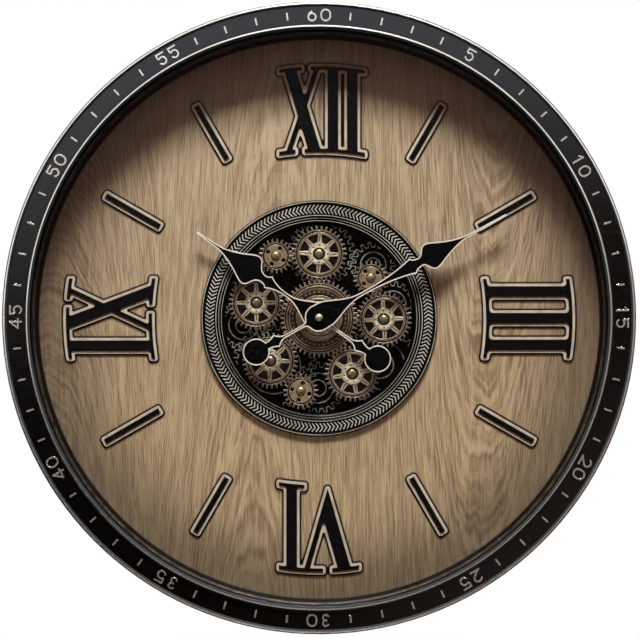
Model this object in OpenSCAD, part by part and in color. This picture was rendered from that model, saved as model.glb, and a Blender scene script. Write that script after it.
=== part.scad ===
// Gear wall clock: a wood dial with a round window onto a turning gear train.
// Sizes are in millimetres. Each piece is drawn in the dial's own frame, with x to the right,
// y up and z from the wall to the viewer, and is then stood up with its front towards -Y.

/* [Case] */
// Outside diameter of the bezel
clock_d = 600; // [580:5:640]
// Thickness of the case band's sheet
sheet_t = 1.5; // [1:0.1:2.5]
// Width of the flange that rests on the wall
flange_w = 16; // [10:1:20]
// Room between the wall and the gear plate
rear_room = 28; // [27:0.5:40]
// Width of one dial bracket
bracket_w = 18; // [12:1:30]
// Thickness of a dial bracket
bracket_t = 1.6; // [1:0.1:2.5]
// Length of the bracket's foot on the dial board
bracket_foot = 22; // [16:1:30]
// Height of the bracket's tab on the case band
bracket_tab = 18; // [10:1:24]

/* [Bezel] */
// Radius of the bead at the outer edge
outer_bead_r = 2.1; // [1.5:0.1:3]
// Radius of the bead at the glass opening
inner_bead_r = 2.3; // [1.5:0.1:3]
// Width of the flat minute track
track_w = 15.8; // [14:0.2:24]
// Width of the groove beside each bead
groove_w = 0.8; // [0.4:0.1:1.2]
// Depth of the groove beside each bead
groove_depth = 0.7; // [0.3:0.1:1.5]
// Thickness of the bezel's front
bezel_t = 3; // [2:0.2:5]
// Depth of the bezel's skirt over the case band
skirt_depth = 14; // [8:1:24]
// Thickness of the skirt
skirt_t = 1.5; // [1:0.1:2]
// Height of the raised figures and ticks
figure_rise = 0.8; // [0.4:0.1:1.2]
// Height of a minute figure
figure_h = 12.2; // [9:0.2:13]
// Width of a minute figure
figure_w = 10.2; // [7:0.2:11]
// Stroke of a minute figure
figure_stroke = 1.6; // [1.4:0.1:2.6]
// Space between the two figures of a number
figure_space = 2.8; // [1.5:0.1:5]
// Length of a minute tick
tick_h = 7.2; // [5:0.2:11]
// Width of a minute tick
tick_w = 1.6; // [1:0.1:3]

/* [Glass] */
// Thickness of the glass
glass_t = 3; // [2:0.5:5]
// Overlap of the glass behind the bezel
glass_lap = 7.5; // [5:0.5:8]
// Thickness of the glass gasket
gasket_t = 1; // [0.5:0.1:2]
// Free space between the hand nut and the glass
glass_clear = 3.5; // [2:0.5:12]
// Width of the stepped wall that shows inside the bezel
wall_w = 7; // [4:0.5:12]

/* [Dial] */
// Thickness of the dial board
board_t = 5; // [4:0.5:9]
// Distance from the glass opening to the numerals' outer edge
numeral_margin = 33; // [26:1:44]
// Height of a roman numeral
numeral_h = 82; // [50:1:90]
// Width of a numeral's heavy stroke
heavy_w = 10; // [6:0.2:12]
// Width of a numeral's light stroke
light_w = 4.8; // [2:0.2:6]
// Thickness of a numeral's serif
serif_t = 3.2; // [1.5:0.1:4]
// Half width of the widest numerals
numeral_half = 38; // [30:0.5:44]
// Distance between the bars of the twelve
pair_pitch = 18.4; // [16:0.2:24]
// Distance between the bars of the three
triple_pitch = 25.4; // [18:0.2:30]
// Overhang of a serif beyond its stroke
serif_over = 7; // [4:0.2:10]
// Width of the light band round a numeral
band_w = 2.6; // [1.5:0.1:3.4]
// Width of the dark line round the band
line_w = 1.3; // [0.5:0.1:1.6]
// Height of each of the three steps of a numeral
step_h = 0.6; // [0.3:0.1:1]
// Length of an hour baton's core
baton_len = 59; // [30:1:80]
// Width of an hour baton's core
baton_w = 4.8; // [3:0.2:9]

/* [Display gears] */
// Module of the display gears
gear_module = 1.5; // [1.4:0.05:1.7]
// Thickness of a display gear
gear_t = 4.2; // [3:0.2:6]
// Height of a tooth above the pitch circle
tooth_out = 0.9; // [0.6:0.05:1.1]
// Depth of a tooth below the pitch circle
tooth_in = 2.85; // [1.6:0.05:3]
// Width of a gear's rim inside the teeth
rim_w = 4.1; // [2.4:0.1:5]
// Radius of a gear's hub
hub_r = 10.8; // [9:0.2:12]
// Width of a spoke at the hub
spoke_w = 4.4; // [2.4:0.1:5]
// Thickness of the web that closes the spaces between the spokes
web_t = 1.4; // [0.8:0.1:2]
// Radius of a hole in a small gear
drilled_r = 2.1; // [1.4:0.1:2.6]
// Radius of a gear post
post_r = 2.5; // [1.8:0.1:3]
// Radius of a post's cap
cap_r = 4.2; // [3.5:0.1:5]
// Radius of the collar below a gear
collar_r = 6; // [4.5:0.1:8]
// Height of the collar below a gear
collar_h = 2; // [1.2:0.1:3]
// Radius of the sleeve that the centre gear turns on
sleeve_r = 7.2; // [6.4:0.1:8]

/* [Gear well] */
// Free space between the gears and the ring
well_clear = 2.4; // [2:0.2:8]
// Thickness of the gear plate
plate_t = 3; // [2:0.5:5]
// Height of the line relief on the gear plate
relief_h = 0.6; // [0.3:0.1:1]
// Width of a relief line
relief_w = 1; // [0.6:0.1:1.6]
// Width of the chevron band
rope_w = 9.2; // [7:0.2:12]
// Number of chevrons
rope_count = 180; // [120:4:200]

/* [Hands] */
// Thickness of a hand
hand_t = 1.2; // [1:0.1:2]
// Height of the bright edge of a hand
edge_h = 0.4; // [0.2:0.1:0.8]
// Width of the bright edge of a hand
edge_w = 1.1; // [0.6:0.1:1.6]
// Free space between the hands
hand_gap = 1.4; // [1:0.1:3]
// Length of the minute hand from its axis
minute_len = 203; // [160:1:225]
// Length of the hour hand from its axis
hour_len = 142; // [120:1:160]
// Half width of the hands at the axis
hand_hub = 12.9; // [9:0.1:15]
// Half width of the minute hand's blade
minute_blade = 13; // [8:0.2:16]
// Half width of the hour hand's blade
hour_blade = 15.5; // [8:0.2:18]
// Radius of the tail disc
tail_r = 12.8; // [8:0.2:15]
// Distance from the axis to the tail disc
tail_u = 68; // [50:1:80]
// Time shown, in minutes after twelve
shown_time = 610.2; // [0:0.1:720]

/* [Movement] */
// Free length of the movement's cell bay
bay_clear = 1.9; // [1:0.1:6]
// Thickness of the hand movement
movement_t = 16.2; // [16:0.1:17.5]
// Wall of the movement case
movement_wall = 1.4; // [1:0.1:1.8]
// Module of the motion work's wheels
motion_module = 0.5; // [0.48:0.01:0.54]
// Radius of the threaded bush
bush_r = 5; // [4.6:0.1:5.6]
// Radius of the hour tube
tube_r = 2.6; // [2.4:0.05:3]
// Radius of the minute arbor
arbor_r = 1.6; // [1.2:0.05:1.7]
// Thickness of the rubber pad in front of the movement
pad_t = 0.8; // [0.4:0.1:1.6]
// Radius of the setting knob
knob_r = 6; // [4:0.2:8]

/* [Gear drive] */
// Depth of the drive case
drive_depth = 23; // [21:0.5:24]
// Wall of the drive case
drive_wall = 2; // [1.6:0.1:2.6]
// Module of the drive train's wheels
drive_module = 0.6; // [0.55:0.01:0.65]
// Thickness of the covers
cover_t = 2; // [1.4:0.1:2.6]
// Radius of the motor can
motor_r = 10; // [8:0.5:11]

/* [Hanger] */
// Radius of the keyhole's round part
keyhole_r = 5; // [4:0.25:7]
// Width of the keyhole's slot
keyhole_slot = 4.5; // [3.5:0.25:6]
// Length of the keyhole's slot
keyhole_len = 12; // [8:1:16]
// Thickness of the hanger plate
hanger_t = 2; // [1.5:0.1:3]
// Width of the hanger plate
hanger_w = 54; // [40:1:80]

/* [Hidden] */
$fn = 96;
eps = 0.01;
// Radial running clearance, clearance of fixed fits and end float
run_gap = 0.05;
fit_gap = 0.03;
end_gap = 0.15;

// Tooth counts and shapes
sun_teeth = 48;
planet_teeth = 34;
small_teeth = 21;
root_part = 0.28;
tip_part = 0.12;
cannon_teeth = 12;
motion_teeth = 36;
motion_leaves = 10;
hour_teeth = 40;
drive_leaves = 10;
drive_teeth = 40;
train_out = 0.75;
train_in = 1.3;
train_root_part = 0.27;
train_tip_part = 0.1;

// Directions of the gears, counter-clockwise from the right
top_at = 90;
right_at = -1;
left_at = 166;
lower_left_at = 221;
lower_right_at = 301;
upper_left_from_top = 183;
upper_right_from_right = 107.4;
lower_from_lower_left = 314.7;

function polar(r, a) = [r * cos(a), r * sin(a)];
function pitch_r(teeth, size) = teeth * size / 2;
function gear_outline(teeth, root_r, tip_r, root_share, tip_share) = [
    for (i = [0 : teeth - 1])
        let (step = 360 / teeth, a = i * step)
        each [
            polar(root_r, a - root_share * step),
            polar(tip_r, a - tip_share * step),
            polar(tip_r, a + tip_share * step),
            polar(root_r, a + root_share * step)
        ]
];
// Turn that sets a driven gear's teeth between those of its driver
function mesh_turn(driver_turn, driver_teeth, direction, teeth) =
    direction + 180 + 180 / teeth + (direction - driver_turn) * driver_teeth / teeth;

// Places and turns of the display gears
sun_pitch = pitch_r(sun_teeth, gear_module);
planet_pitch = pitch_r(planet_teeth, gear_module);
small_pitch = pitch_r(small_teeth, gear_module);
planet_reach = sun_pitch + planet_pitch;
small_reach = planet_pitch + small_pitch;
top_pos = polar(planet_reach, top_at);
right_pos = polar(planet_reach, right_at);
left_pos = polar(planet_reach, left_at);
lower_left_pos = polar(planet_reach, lower_left_at);
lower_right_pos = polar(planet_reach, lower_right_at);
upper_left_pos = top_pos + polar(small_reach, upper_left_from_top);
upper_right_pos = right_pos + polar(small_reach, upper_right_from_right);
lower_pos = lower_left_pos + polar(small_reach, lower_from_lower_left);
top_turn = mesh_turn(0, sun_teeth, top_at, planet_teeth);
right_turn = mesh_turn(0, sun_teeth, right_at, planet_teeth);
left_turn = mesh_turn(0, sun_teeth, left_at, planet_teeth);
lower_left_turn = mesh_turn(0, sun_teeth, lower_left_at, planet_teeth);
lower_right_turn = mesh_turn(0, sun_teeth, lower_right_at, planet_teeth);
upper_left_turn = mesh_turn(top_turn, planet_teeth, upper_left_from_top, small_teeth);
upper_right_turn = mesh_turn(right_turn, planet_teeth, upper_right_from_right, small_teeth);
lower_turn = mesh_turn(lower_left_turn, planet_teeth, lower_from_lower_left, small_teeth);
post_places = [
    top_pos, right_pos, left_pos, lower_left_pos, upper_left_pos, upper_right_pos, lower_pos
];
planet_tip = planet_pitch + tooth_out;
small_tip = small_pitch + tooth_out;
well_r = max(
    planet_reach + planet_tip,
    norm(upper_left_pos) + small_tip,
    norm(upper_right_pos) + small_tip,
    norm(lower_pos) + small_tip
) + well_clear;

// Levels from the wall to the glass
plate_back = rear_room;
plate_front = plate_back + plate_t;
dial_front = plate_front + board_t;
gear_back = plate_front + collar_h + end_gap;
gear_front = gear_back + gear_t;
recess_depth = 0.8;
hub_rise = 0.6;
cap_back = gear_front - recess_depth + end_gap;
cap_h = 2;
sleeve_top = gear_front + hub_rise + end_gap;
washer_t = 0.8;
nut_back = sleeve_top + washer_t;
nut_h = 2.4;
nut_front = nut_back + nut_h;
hour_back = nut_front + hand_gap;
hour_front = hour_back + hand_t + edge_h;
minute_back = hour_front + hand_gap;
minute_front = minute_back + hand_t + edge_h;
hand_nut_h = 2.6;
hand_nut_front = minute_front + hand_nut_h;
glass_back = hand_nut_front + glass_clear;
glass_front = glass_back + glass_t;
seat_z = glass_front + gasket_t;
track_z = seat_z + bezel_t;

// Radii of the case
bezel_r = clock_d / 2;
track_out = bezel_r - 2 * outer_bead_r - groove_w;
track_in = track_out - track_w;
track_mid = (track_out + track_in) / 2;
opening_r = track_in - groove_w - 2 * inner_bead_r;
bead_set = 0.15;
glass_r = opening_r + glass_lap;
board_r = glass_r;
band_out = bezel_r - skirt_t - fit_gap;
band_in = band_out - sheet_t;
dial_show_r = opening_r - wall_w;

// Radii of the ring round the gear well
spigot_t = 2.3;
ring_base = 1.6;
fine_bead = 0.8;
main_bead = 1.2;
fine_bead_at = well_r + 1.3;
fine_bead_next = well_r + 3.8;
main_bead_at = well_r + 6.4;
rope_in = well_r + 8.2;
rope_out = rope_in + rope_w;
rim_bead_at = rope_out + 2.1;
ring_r = rim_bead_at + main_bead + bead_set;
rope_rise = 0.8;
plate_r = ring_r + 6;
plate_screw_r = (rope_in + rope_out) / 2;
plate_screw_count = 6;

// Screws shared by the brackets, the plate and the drive
screw_r = 1.5;
screw_head_r = 3.4;
screw_head_h = 1.6;
bracket_count = 8;
bracket_first = 22.5;
bracket_screw_r = board_r - bracket_foot / 2;
bracket_screw_len = board_t + bracket_t - 1.5;
plate_screw_len = plate_t + board_t + 1;

// Numerals
numeral_out = opening_r - numeral_margin;
numeral_in = numeral_out - numeral_h;
border = band_w + line_w;
arc_steps = 180;
corner_round = 1.6;
slot_round = 3.4;
baton_mid = numeral_out - baton_len / 2 - 6.5;

// Cells and the movement that is as wide as its cell
cell_r = 7.15;
cell_len = 49.2;
cell_tip_r = 2.6;
cell_tip = 1.3;
contact_t = 0.4;
cell_bay = cell_len + cell_tip + 2 * contact_t + 0.6;
bay_depth = 2 * cell_r + 0.5;

// Motion work of the hands
motion_reach = (cannon_teeth + motion_teeth) * motion_module / 2;
hour_module = 2 * motion_reach / (motion_leaves + hour_teeth);
hour_room = pitch_r(hour_teeth, hour_module) + train_out * hour_module + 0.4;
movement_w = max(
    cell_len + cell_tip + 2 * contact_t + 2 * movement_wall + bay_clear,
    2 * (hour_room + bay_depth + 2 * movement_wall)
);
movement_front_z = plate_back - pad_t;
movement_back_z = movement_front_z - movement_t;
motion_back = movement_back_z + movement_wall + 2.4;
motion_t = 1.8;
hour_wheel_back = motion_back + motion_t + 1.2;
hour_wheel_t = 1.8;
motion_at = -90;
knob_at = -180;
motion_pos = polar(motion_reach, motion_at);
knob_pos = motion_pos + polar(motion_reach, knob_at);
motion_turn = mesh_turn(0, cannon_teeth, motion_at, motion_teeth);
leaves_turn = 0;
hour_turn = mesh_turn(leaves_turn, motion_leaves, motion_at + 180, hour_teeth);
knob_turn = mesh_turn(motion_turn, motion_teeth, knob_at, cannon_teeth);
stud_r = 1;
knob_shaft_r = 1.4;
bush_head_r = bush_r + 2;
bush_head_t = 1.2;

// Cell bay of the movement
bay_low = movement_w / 2 - movement_wall - bay_depth;
bay_mid = bay_low + bay_depth / 2;
movement_cell_z = movement_front_z - movement_wall - 0.1 - cell_r;

// Gear drive
drive_back = plate_back - drive_depth;
drive_pitch = pitch_r(drive_teeth, drive_module);
drive_leaf_pitch = pitch_r(drive_leaves, drive_module);
drive_reach = drive_pitch + drive_leaf_pitch;
idler_at = -60;
motor_at = -120;
idler_pos = lower_right_pos + polar(drive_reach, idler_at);
motor_pos = idler_pos + polar(drive_reach, motor_at);
output_turn = lower_right_turn;
idler_turn = mesh_turn(output_turn, drive_teeth, idler_at, drive_leaves);
rotor_turn = mesh_turn(idler_turn, drive_teeth, motor_at, drive_leaves);
train_room = 5;
drive_top = -movement_w / 2 - 3;
drive_low = motor_pos[1] - motor_r - train_room;
drive_right = max(idler_pos[0], lower_right_pos[0]) + drive_pitch + train_room;
drive_mid = lower_right_pos[0] - drive_pitch - train_room;
drive_middle = (drive_low + drive_top) / 2;
boss_r = screw_head_r + 1.1;
head_sink = screw_head_h + 0.3;

// Lips and hooks of the sliding cover
lid_right = drive_mid - drive_wall / 2;
lip_t = 1.2;
lip_gap = 0.15;
hook_t = 1;
hook_deep = 1;
hook_back = drive_back + 3;
drive_left = drive_mid - cell_bay - 2 * drive_wall;
wheel_t = 3;
output_back = plate_back - drive_wall - 1 - wheel_t;
idler_wheel_back = output_back - 1.2 - wheel_t;
motor_front = idler_wheel_back - 1;
rotor_r = 6;
rotor_shaft_r = 1;
cell_pitch = 2 * cell_r + 2;
drive_cell_y = (drive_top + drive_low) / 2;
drive_cell_z = drive_back + cell_r + 0.4;
rear_bearing_t = 1.6;
drive_bush_r = 4.2;

// Hanger
hanger_out = band_in - 1;
hanger_in = band_out - flange_w - 26;
keyhole_y = hanger_in + keyhole_r + 5;

// Hands
hour_angle = shown_time / 2;
minute_angle = (shown_time % 60) * 6;

module stand_up() {
    rotate([90, 0, 0])
        children();
}

module at(place, z = 0) {
    translate([place[0], place[1], z])
        children();
}

module ring_2d(outer, inner) {
    difference() {
        circle(outer);
        circle(inner);
    }
}

module ring(outer, inner, back, front) {
    translate([0, 0, back])
        linear_extrude(front - back)
            ring_2d(outer, inner);
}

module disc(r, back, front) {
    translate([0, 0, back])
        cylinder(r = r, h = front - back);
}

// Box between two corners
module block(low, high) {
    translate(low)
        cube(high - low);
}

// Arc stroke of constant width
module arc_stroke(r, stroke, from, to) {
    steps = 14;
    sweep = to - from;
    polygon(concat(
        [for (i = [0 : steps]) polar(r + stroke / 2, from + sweep * i / steps)],
        [for (i = [steps : -1 : 0]) polar(r - stroke / 2, from + sweep * i / steps)]
    ));
}

// Straight stroke of constant width between two points
module bar_stroke(from, to, stroke) {
    along = to - from;
    side = [-along[1], along[0]] * stroke / 2 / norm(along);
    polygon([from + side, from - side, to - side, to + side]);
}

module figure(n) {
    s = figure_stroke;
    rise = (figure_h - s) / 2;
    wide = (figure_w - s) / 2;
    bowl = figure_h * 0.29;
    small = rise / 2;
    if (n == 0) {
        translate([0, rise - wide])
            arc_stroke(wide, s, 0, 180);
        translate([0, wide - rise])
            arc_stroke(wide, s, 180, 360);
        bar_stroke([wide, wide - rise - eps], [wide, rise - wide + eps], s);
        bar_stroke([-wide, wide - rise - eps], [-wide, rise - wide + eps], s);
    }
    if (n == 1) {
        bar_stroke([s / 2, -figure_h / 2], [s / 2, figure_h / 2], s);
        bar_stroke([s / 2, rise], [-wide * 0.6, rise - wide * 0.7], s * 0.9);
    }
    if (n == 2) {
        translate([0, rise - bowl])
            arc_stroke(bowl, s, -28, 170);
        bar_stroke([bowl * 0.88, rise - bowl * 1.46], [-wide * 0.8, -rise], s);
        bar_stroke([-figure_w / 2, -rise], [figure_w / 2, -rise], s);
    }
    if (n == 3) {
        translate([0, rise - small])
            arc_stroke(small, s, -90, 165);
        translate([0, small - rise])
            arc_stroke(small, s, -165, 90);
        bar_stroke([-small * 0.5, 0], [eps, 0], s);
    }
    if (n == 4) {
        bar_stroke([wide * 0.4, -figure_h / 2], [wide * 0.4, figure_h / 2], s);
        bar_stroke([-wide - s / 2, -rise * 0.42], [figure_w / 2, -rise * 0.42], s);
        bar_stroke([wide * 0.3, rise * 0.95], [-wide, -rise * 0.42], s);
    }
    if (n == 5) {
        bar_stroke([-bowl, rise], [wide, rise], s);
        bar_stroke([-bowl, rise + s / 2], [-bowl, bowl * 0.3], s);
        translate([0, bowl - rise])
            arc_stroke(bowl, s, -160, 146);
    }
    if (n == 6) {
        translate([0, bowl - rise])
            ring_2d(bowl + s / 2, bowl - s / 2);
        translate([rise * 1.1 - bowl, bowl - rise])
            arc_stroke(rise * 1.1, s, 112, 180);
    }
}

module number(n) {
    pitch = figure_w + figure_space;
    if (n > 9) {
        translate([-pitch / 2, 0])
            figure(floor(n / 10));
        translate([pitch / 2, 0])
            figure(n % 10);
    } else {
        figure(n);
    }
}

module bezel() {
    color("#17181a")
        stand_up() {
            rotate_extrude()
                difference() {
                    union() {
                        translate([opening_r, seat_z])
                            square([bezel_r - opening_r, bezel_t]);
                        translate([bezel_r - skirt_t, track_z - skirt_depth])
                            square([skirt_t, skirt_depth]);
                        translate([bezel_r - outer_bead_r - bead_set, track_z])
                            circle(outer_bead_r);
                        translate([opening_r + inner_bead_r + bead_set, track_z])
                            circle(inner_bead_r);
                    }
                    translate([track_out, track_z - groove_depth])
                        square([groove_w, groove_depth + figure_rise]);
                    translate([track_in - groove_w, track_z - groove_depth])
                        square([groove_w, groove_depth + figure_rise]);
                }
            minute_figures();
        }
}

// Raised minute numbers and ticks on the track
module minute_figures() {
    translate([0, 0, track_z - groove_depth])
        linear_extrude(groove_depth + figure_rise) {
            for (i = [1 : 12])
                rotate(-30 * i)
                    translate([0, track_mid])
                        number(i * 5);
            for (i = [1 : 60])
                if (i % 5 != 0)
                    rotate(-6 * i)
                        translate([-tick_w / 2, track_mid - tick_h / 2])
                            square([tick_w, tick_h]);
        }
}

module case_band() {
    color("#1b1b1c")
        stand_up()
            rotate_extrude() {
                translate([band_in, 0])
                    square([sheet_t, seat_z]);
                translate([band_out - flange_w, 0])
                    square([flange_w, sheet_t]);
            }
}

module keyhole_2d() {
    circle(keyhole_r);
    translate([-keyhole_slot / 2, 0])
        square([keyhole_slot, keyhole_len]);
    translate([0, keyhole_len])
        circle(keyhole_slot / 2);
}

module hanger_plate() {
    color("#8a8d90")
        stand_up()
            translate([0, 0, sheet_t])
                linear_extrude(hanger_t)
                    difference() {
                        intersection() {
                            translate([-hanger_w / 2, hanger_in])
                                square([hanger_w, hanger_out]);
                            circle(hanger_out);
                        }
                        translate([0, keyhole_y])
                            keyhole_2d();
                    }
}

module glass_gasket() {
    color("#202020")
        stand_up()
            ring(glass_r, glass_r - 5, glass_front, seat_z);
}

module glass() {
    color("#dfeaec", 0.25)
        stand_up()
            disc(glass_r, glass_back, glass_front);
}

// Stepped wall between the dial and the glass
module dial_spacer() {
    wall_h = glass_back - dial_front;
    step_r = dial_show_r + wall_w * 0.6;
    step_z = dial_front + wall_h * 0.55;
    back_t = 2.4;
    color("#101011")
        stand_up()
            rotate_extrude()
                polygon([
                    [dial_show_r, dial_front],
                    [glass_r, dial_front],
                    [glass_r, dial_front + back_t],
                    [step_r + back_t, dial_front + back_t],
                    [opening_r + back_t, glass_back - back_t],
                    [glass_r, glass_back - back_t],
                    [glass_r, glass_back],
                    [opening_r - 0.6, glass_back],
                    [opening_r - 1.6, glass_back - 3],
                    [step_r + 0.8, step_z + 1],
                    [step_r - 0.9, step_z],
                    [dial_show_r, dial_front + 1.4]
                ]);
}

module dial_board() {
    color("#b79a74")
        stand_up()
            difference() {
                disc(board_r, plate_front, dial_front);
                disc(well_r + spigot_t + 0.1, plate_front - 1, dial_front + 1);
                at_each(bracket_screw_r, bracket_count, bracket_first)
                    disc(
                        screw_r + fit_gap, plate_front - 1, plate_front - bracket_t + bracket_screw_len + 0.2
                    );
                at_each(plate_screw_r, plate_screw_count, 30)
                    disc(screw_r + fit_gap, plate_front - 1, dial_front + 1);
            }
}

// Copies on a circle
module at_each(r, count, first) {
    for (i = [0 : count - 1])
        rotate(first + 360 * i / count)
            translate([r, 0])
                children();
}

module dial_brackets() {
    foot_in = board_r - bracket_foot;
    color("#6d7074")
        stand_up()
            for (i = [0 : bracket_count - 1])
                rotate(bracket_first + 360 * i / bracket_count)
                    difference() {
                        union() {
                            translate([0, 0, plate_front - bracket_t])
                                linear_extrude(bracket_t)
                                    intersection() {
                                        translate([foot_in, -bracket_w / 2])
                                            square([bezel_r, bracket_w]);
                                        circle(band_in - fit_gap);
                                    }
                            translate([0, 0, plate_front - bracket_tab])
                                linear_extrude(bracket_tab)
                                    intersection() {
                                        translate([foot_in, -bracket_w / 2])
                                            square([bezel_r, bracket_w]);
                                        ring_2d(band_in - fit_gap, band_in - bracket_t);
                                    }
                        }
                        translate([bracket_screw_r, 0])
                            disc(screw_r + fit_gap, plate_front - bracket_t - 1, plate_front + 1);
                    }
}

// Screw with its head's inner face at z = 0, pointing to the viewer
module screw(len) {
    cylinder(r = screw_r, h = len);
    difference() {
        translate([0, 0, -screw_head_h])
            cylinder(r = screw_head_r, h = screw_head_h);
        translate([-screw_head_r, -0.4, -screw_head_h - 1])
            cube([2 * screw_head_r, 0.8, 1.6]);
    }
}

module bracket_screws() {
    color("#b9bcc0")
        stand_up()
            at_each(bracket_screw_r, bracket_count, bracket_first)
                translate([0, 0, plate_front - bracket_t])
                    screw(bracket_screw_len);
}

// Area between the two arcs that bound the numerals
module numeral_field() {
    difference() {
        circle(numeral_out, $fn = arc_steps);
        translate([0, -numeral_h])
            circle(numeral_out, $fn = arc_steps);
    }
}

// Serif along the outer (side = 0) or inner (side = 1) arc
module serif(from, to, side) {
    inset = side * numeral_h;
    lift = side * serif_t;
    intersection() {
        translate([0, lift - inset])
            ring_2d(numeral_out, numeral_out - serif_t, $fn = arc_steps);
        translate([from, 0])
            square([to - from, 2 * numeral_out]);
    }
}

// Stroke across the numeral's height between two places on its arcs
module stroke(foot, head, width) {
    low = numeral_in - serif_over;
    intersection() {
        polygon([
            [foot - width / 2, low],
            [foot + width / 2, low],
            [head + width / 2, numeral_out],
            [head - width / 2, numeral_out]
        ]);
        numeral_field();
    }
}

// Upright stroke with both serifs
module letter_i(x) {
    half = heavy_w / 2 + serif_over;
    stroke(x, x, heavy_w);
    serif(x - half, x + half, 0);
    serif(x - half, x + half, 1);
}

// Crossed strokes from the left end to the right end of their serifs
module letter_x(left, right, tuck) {
    slope_w = heavy_w * 1.15;
    foot = right - serif_over * 0.5 - slope_w / 2;
    head = left + serif_over * 0.5 + slope_w / 2;
    gap = border + 0.5;
    high = (left + right) / 2 + slope_w / 4;
    low = high - slope_w / 2;
    stroke(foot, head, slope_w);
    stroke(head - tuck, foot, light_w);
    serif(left, high - gap, 0);
    serif(high + gap, right, 0);
    serif(left, low - gap, 1);
    serif(low + gap, right, 1);
}

// Strokes that meet in a point near the inner arc
module letter_v(left, right) {
    slope_w = heavy_w * 1.2;
    point = (left + right) / 2;
    heavy = left + serif_over;
    light = right - serif_over;
    low = numeral_in + serif_t;
    fork = (slope_w + light_w) / (light - heavy);
    gap = border + 0.5;
    intersection() {
        polygon([
            [point, low],
            [light, numeral_out],
            [light - light_w, numeral_out],
            [point + slope_w + (heavy - point) * fork, low + (numeral_out - low) * fork],
            [heavy + slope_w, numeral_out],
            [heavy, numeral_out]
        ]);
        numeral_field();
    }
    serif(left, point - gap, 0);
    serif(point + gap, right, 0);
}

// Outline moved out by a width, with its inner corners rounded
module grown(width, fillet) {
    offset(r = -fillet, $fn = 20)
        offset(r = width + fillet, $fn = 20)
            children();
}

// Three steps: dark line, light band and black core
module raised_sign(round_r = corner_round) {
    translate([0, 0, dial_front])
        linear_extrude(step_h)
            grown(border, round_r * 0.6)
                children();
    translate([0, 0, dial_front])
        linear_extrude(2 * step_h)
            grown(band_w, round_r * 0.8)
                children();
    translate([0, 0, dial_front])
        linear_extrude(3 * step_h)
            grown(0, round_r)
                children();
}

module numeral_xii() {
    bar_pitch = pair_pitch;
    last_bar = numeral_half - serif_over * 0.2 - heavy_w / 2;
    color("#1a1714")
        stand_up()
            raised_sign() {
                letter_x(-numeral_half, last_bar - bar_pitch - heavy_w * 0.55, heavy_w * 0.25);
                letter_i(last_bar - bar_pitch);
                letter_i(last_bar);
            }
}

module numeral_iii() {
    bar_pitch = triple_pitch;
    color("#1a1714")
        stand_up()
            rotate(-90)
                raised_sign(slot_round) {
                    letter_i(-bar_pitch);
                    letter_i(0);
                    letter_i(bar_pitch);
                }
}

module numeral_vi() {
    bar_at = numeral_half - serif_over - heavy_w / 2;
    color("#1a1714")
        stand_up()
            rotate(180)
                raised_sign() {
                    letter_v(-numeral_half, bar_at - serif_over * 0.6);
                    letter_i(bar_at);
                }
}

module numeral_ix() {
    bar_at = serif_over + heavy_w / 2 - numeral_half;
    color("#1a1714")
        stand_up()
            rotate(90)
                raised_sign() {
                    letter_i(bar_at);
                    letter_x(bar_at + serif_over * 1.7, numeral_half, heavy_w * 0.8);
                }
}

module hour_batons() {
    color("#1a1714")
        stand_up()
            for (i = [1 : 12])
                if (i % 3 != 0)
                    rotate(-30 * i)
                        raised_sign()
                            translate([-baton_w / 2, baton_mid - baton_len / 2])
                                square([baton_w, baton_len]);
}

module rope_ring() {
    color("#6b5536")
        stand_up()
            difference() {
                union() {
                    rotate_extrude() {
                        translate([well_r, dial_front])
                            square([ring_r - well_r, ring_base]);
                        translate([well_r, plate_front])
                            square([spigot_t, board_t + ring_base]);
                        for (at = [fine_bead_at, fine_bead_next])
                            translate([at, dial_front + ring_base])
                                circle(fine_bead);
                        for (at = [main_bead_at, rim_bead_at])
                            translate([at, dial_front + ring_base])
                                circle(main_bead);
                    }
                    chevrons();
                }
                at_each(plate_screw_r, plate_screw_count, 30)
                    disc(screw_r + fit_gap, dial_front - 1, plate_back + plate_screw_len + 0.3);
            }
}

// Row of raised chevrons that point counter-clockwise
module chevrons() {
    step = 360 / rope_count;
    thick = step * 0.38;
    lead = step * 0.8;
    low = rope_in + 0.5;
    high = rope_out - 0.5;
    middle = (low + high) / 2;
    translate([0, 0, dial_front + ring_base - rope_rise])
        linear_extrude(2 * rope_rise)
            for (i = [0 : rope_count - 1])
                rotate(i * step)
                    polygon([
                        polar(low, 0),
                        polar(low, thick),
                        polar(middle, thick + lead),
                        polar(high, thick),
                        polar(high, 0),
                        polar(middle, lead)
                    ]);
}

// Line drawing of a gear in relief
module drawn_gear(place, teeth, root_r, tip_r) {
    translate(place) {
        difference() {
            polygon(gear_outline(teeth, root_r, tip_r, 0.3, 0.2));
            polygon(gear_outline(teeth, root_r - relief_w, tip_r - relief_w, 0.24, 0.12));
        }
        ring_2d(root_r * 0.72, root_r * 0.72 - relief_w);
        ring_2d(root_r * 0.4, root_r * 0.4 - relief_w);
    }
}

module plate_relief() {
    translate([0, 0, plate_front - relief_h])
        linear_extrude(2 * relief_h)
            difference() {
                intersection() {
                    union() {
                        drawn_gear([51.5, 51.5], 18, 17.5, 22);
                        drawn_gear([2, 63], 26, 28, 32);
                        drawn_gear([-66, 48], 20, 20, 24);
                        drawn_gear([-72, -6], 22, 20, 24);
                        drawn_gear([-43, -46], 32, 36, 40.5);
                        drawn_gear([-1, -66], 20, 20.5, 25);
                        drawn_gear([58, -44], 28, 33, 37);
                        drawn_gear([70, 14], 18, 18, 22);
                    }
                    circle(well_r - 2);
                }
                circle(collar_r + sun_pitch * 0.3);
                for (place = post_places)
                    translate(place)
                        circle(collar_r + 1);
                translate(lower_right_pos)
                    circle(collar_r + 1);
            }
}

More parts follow.
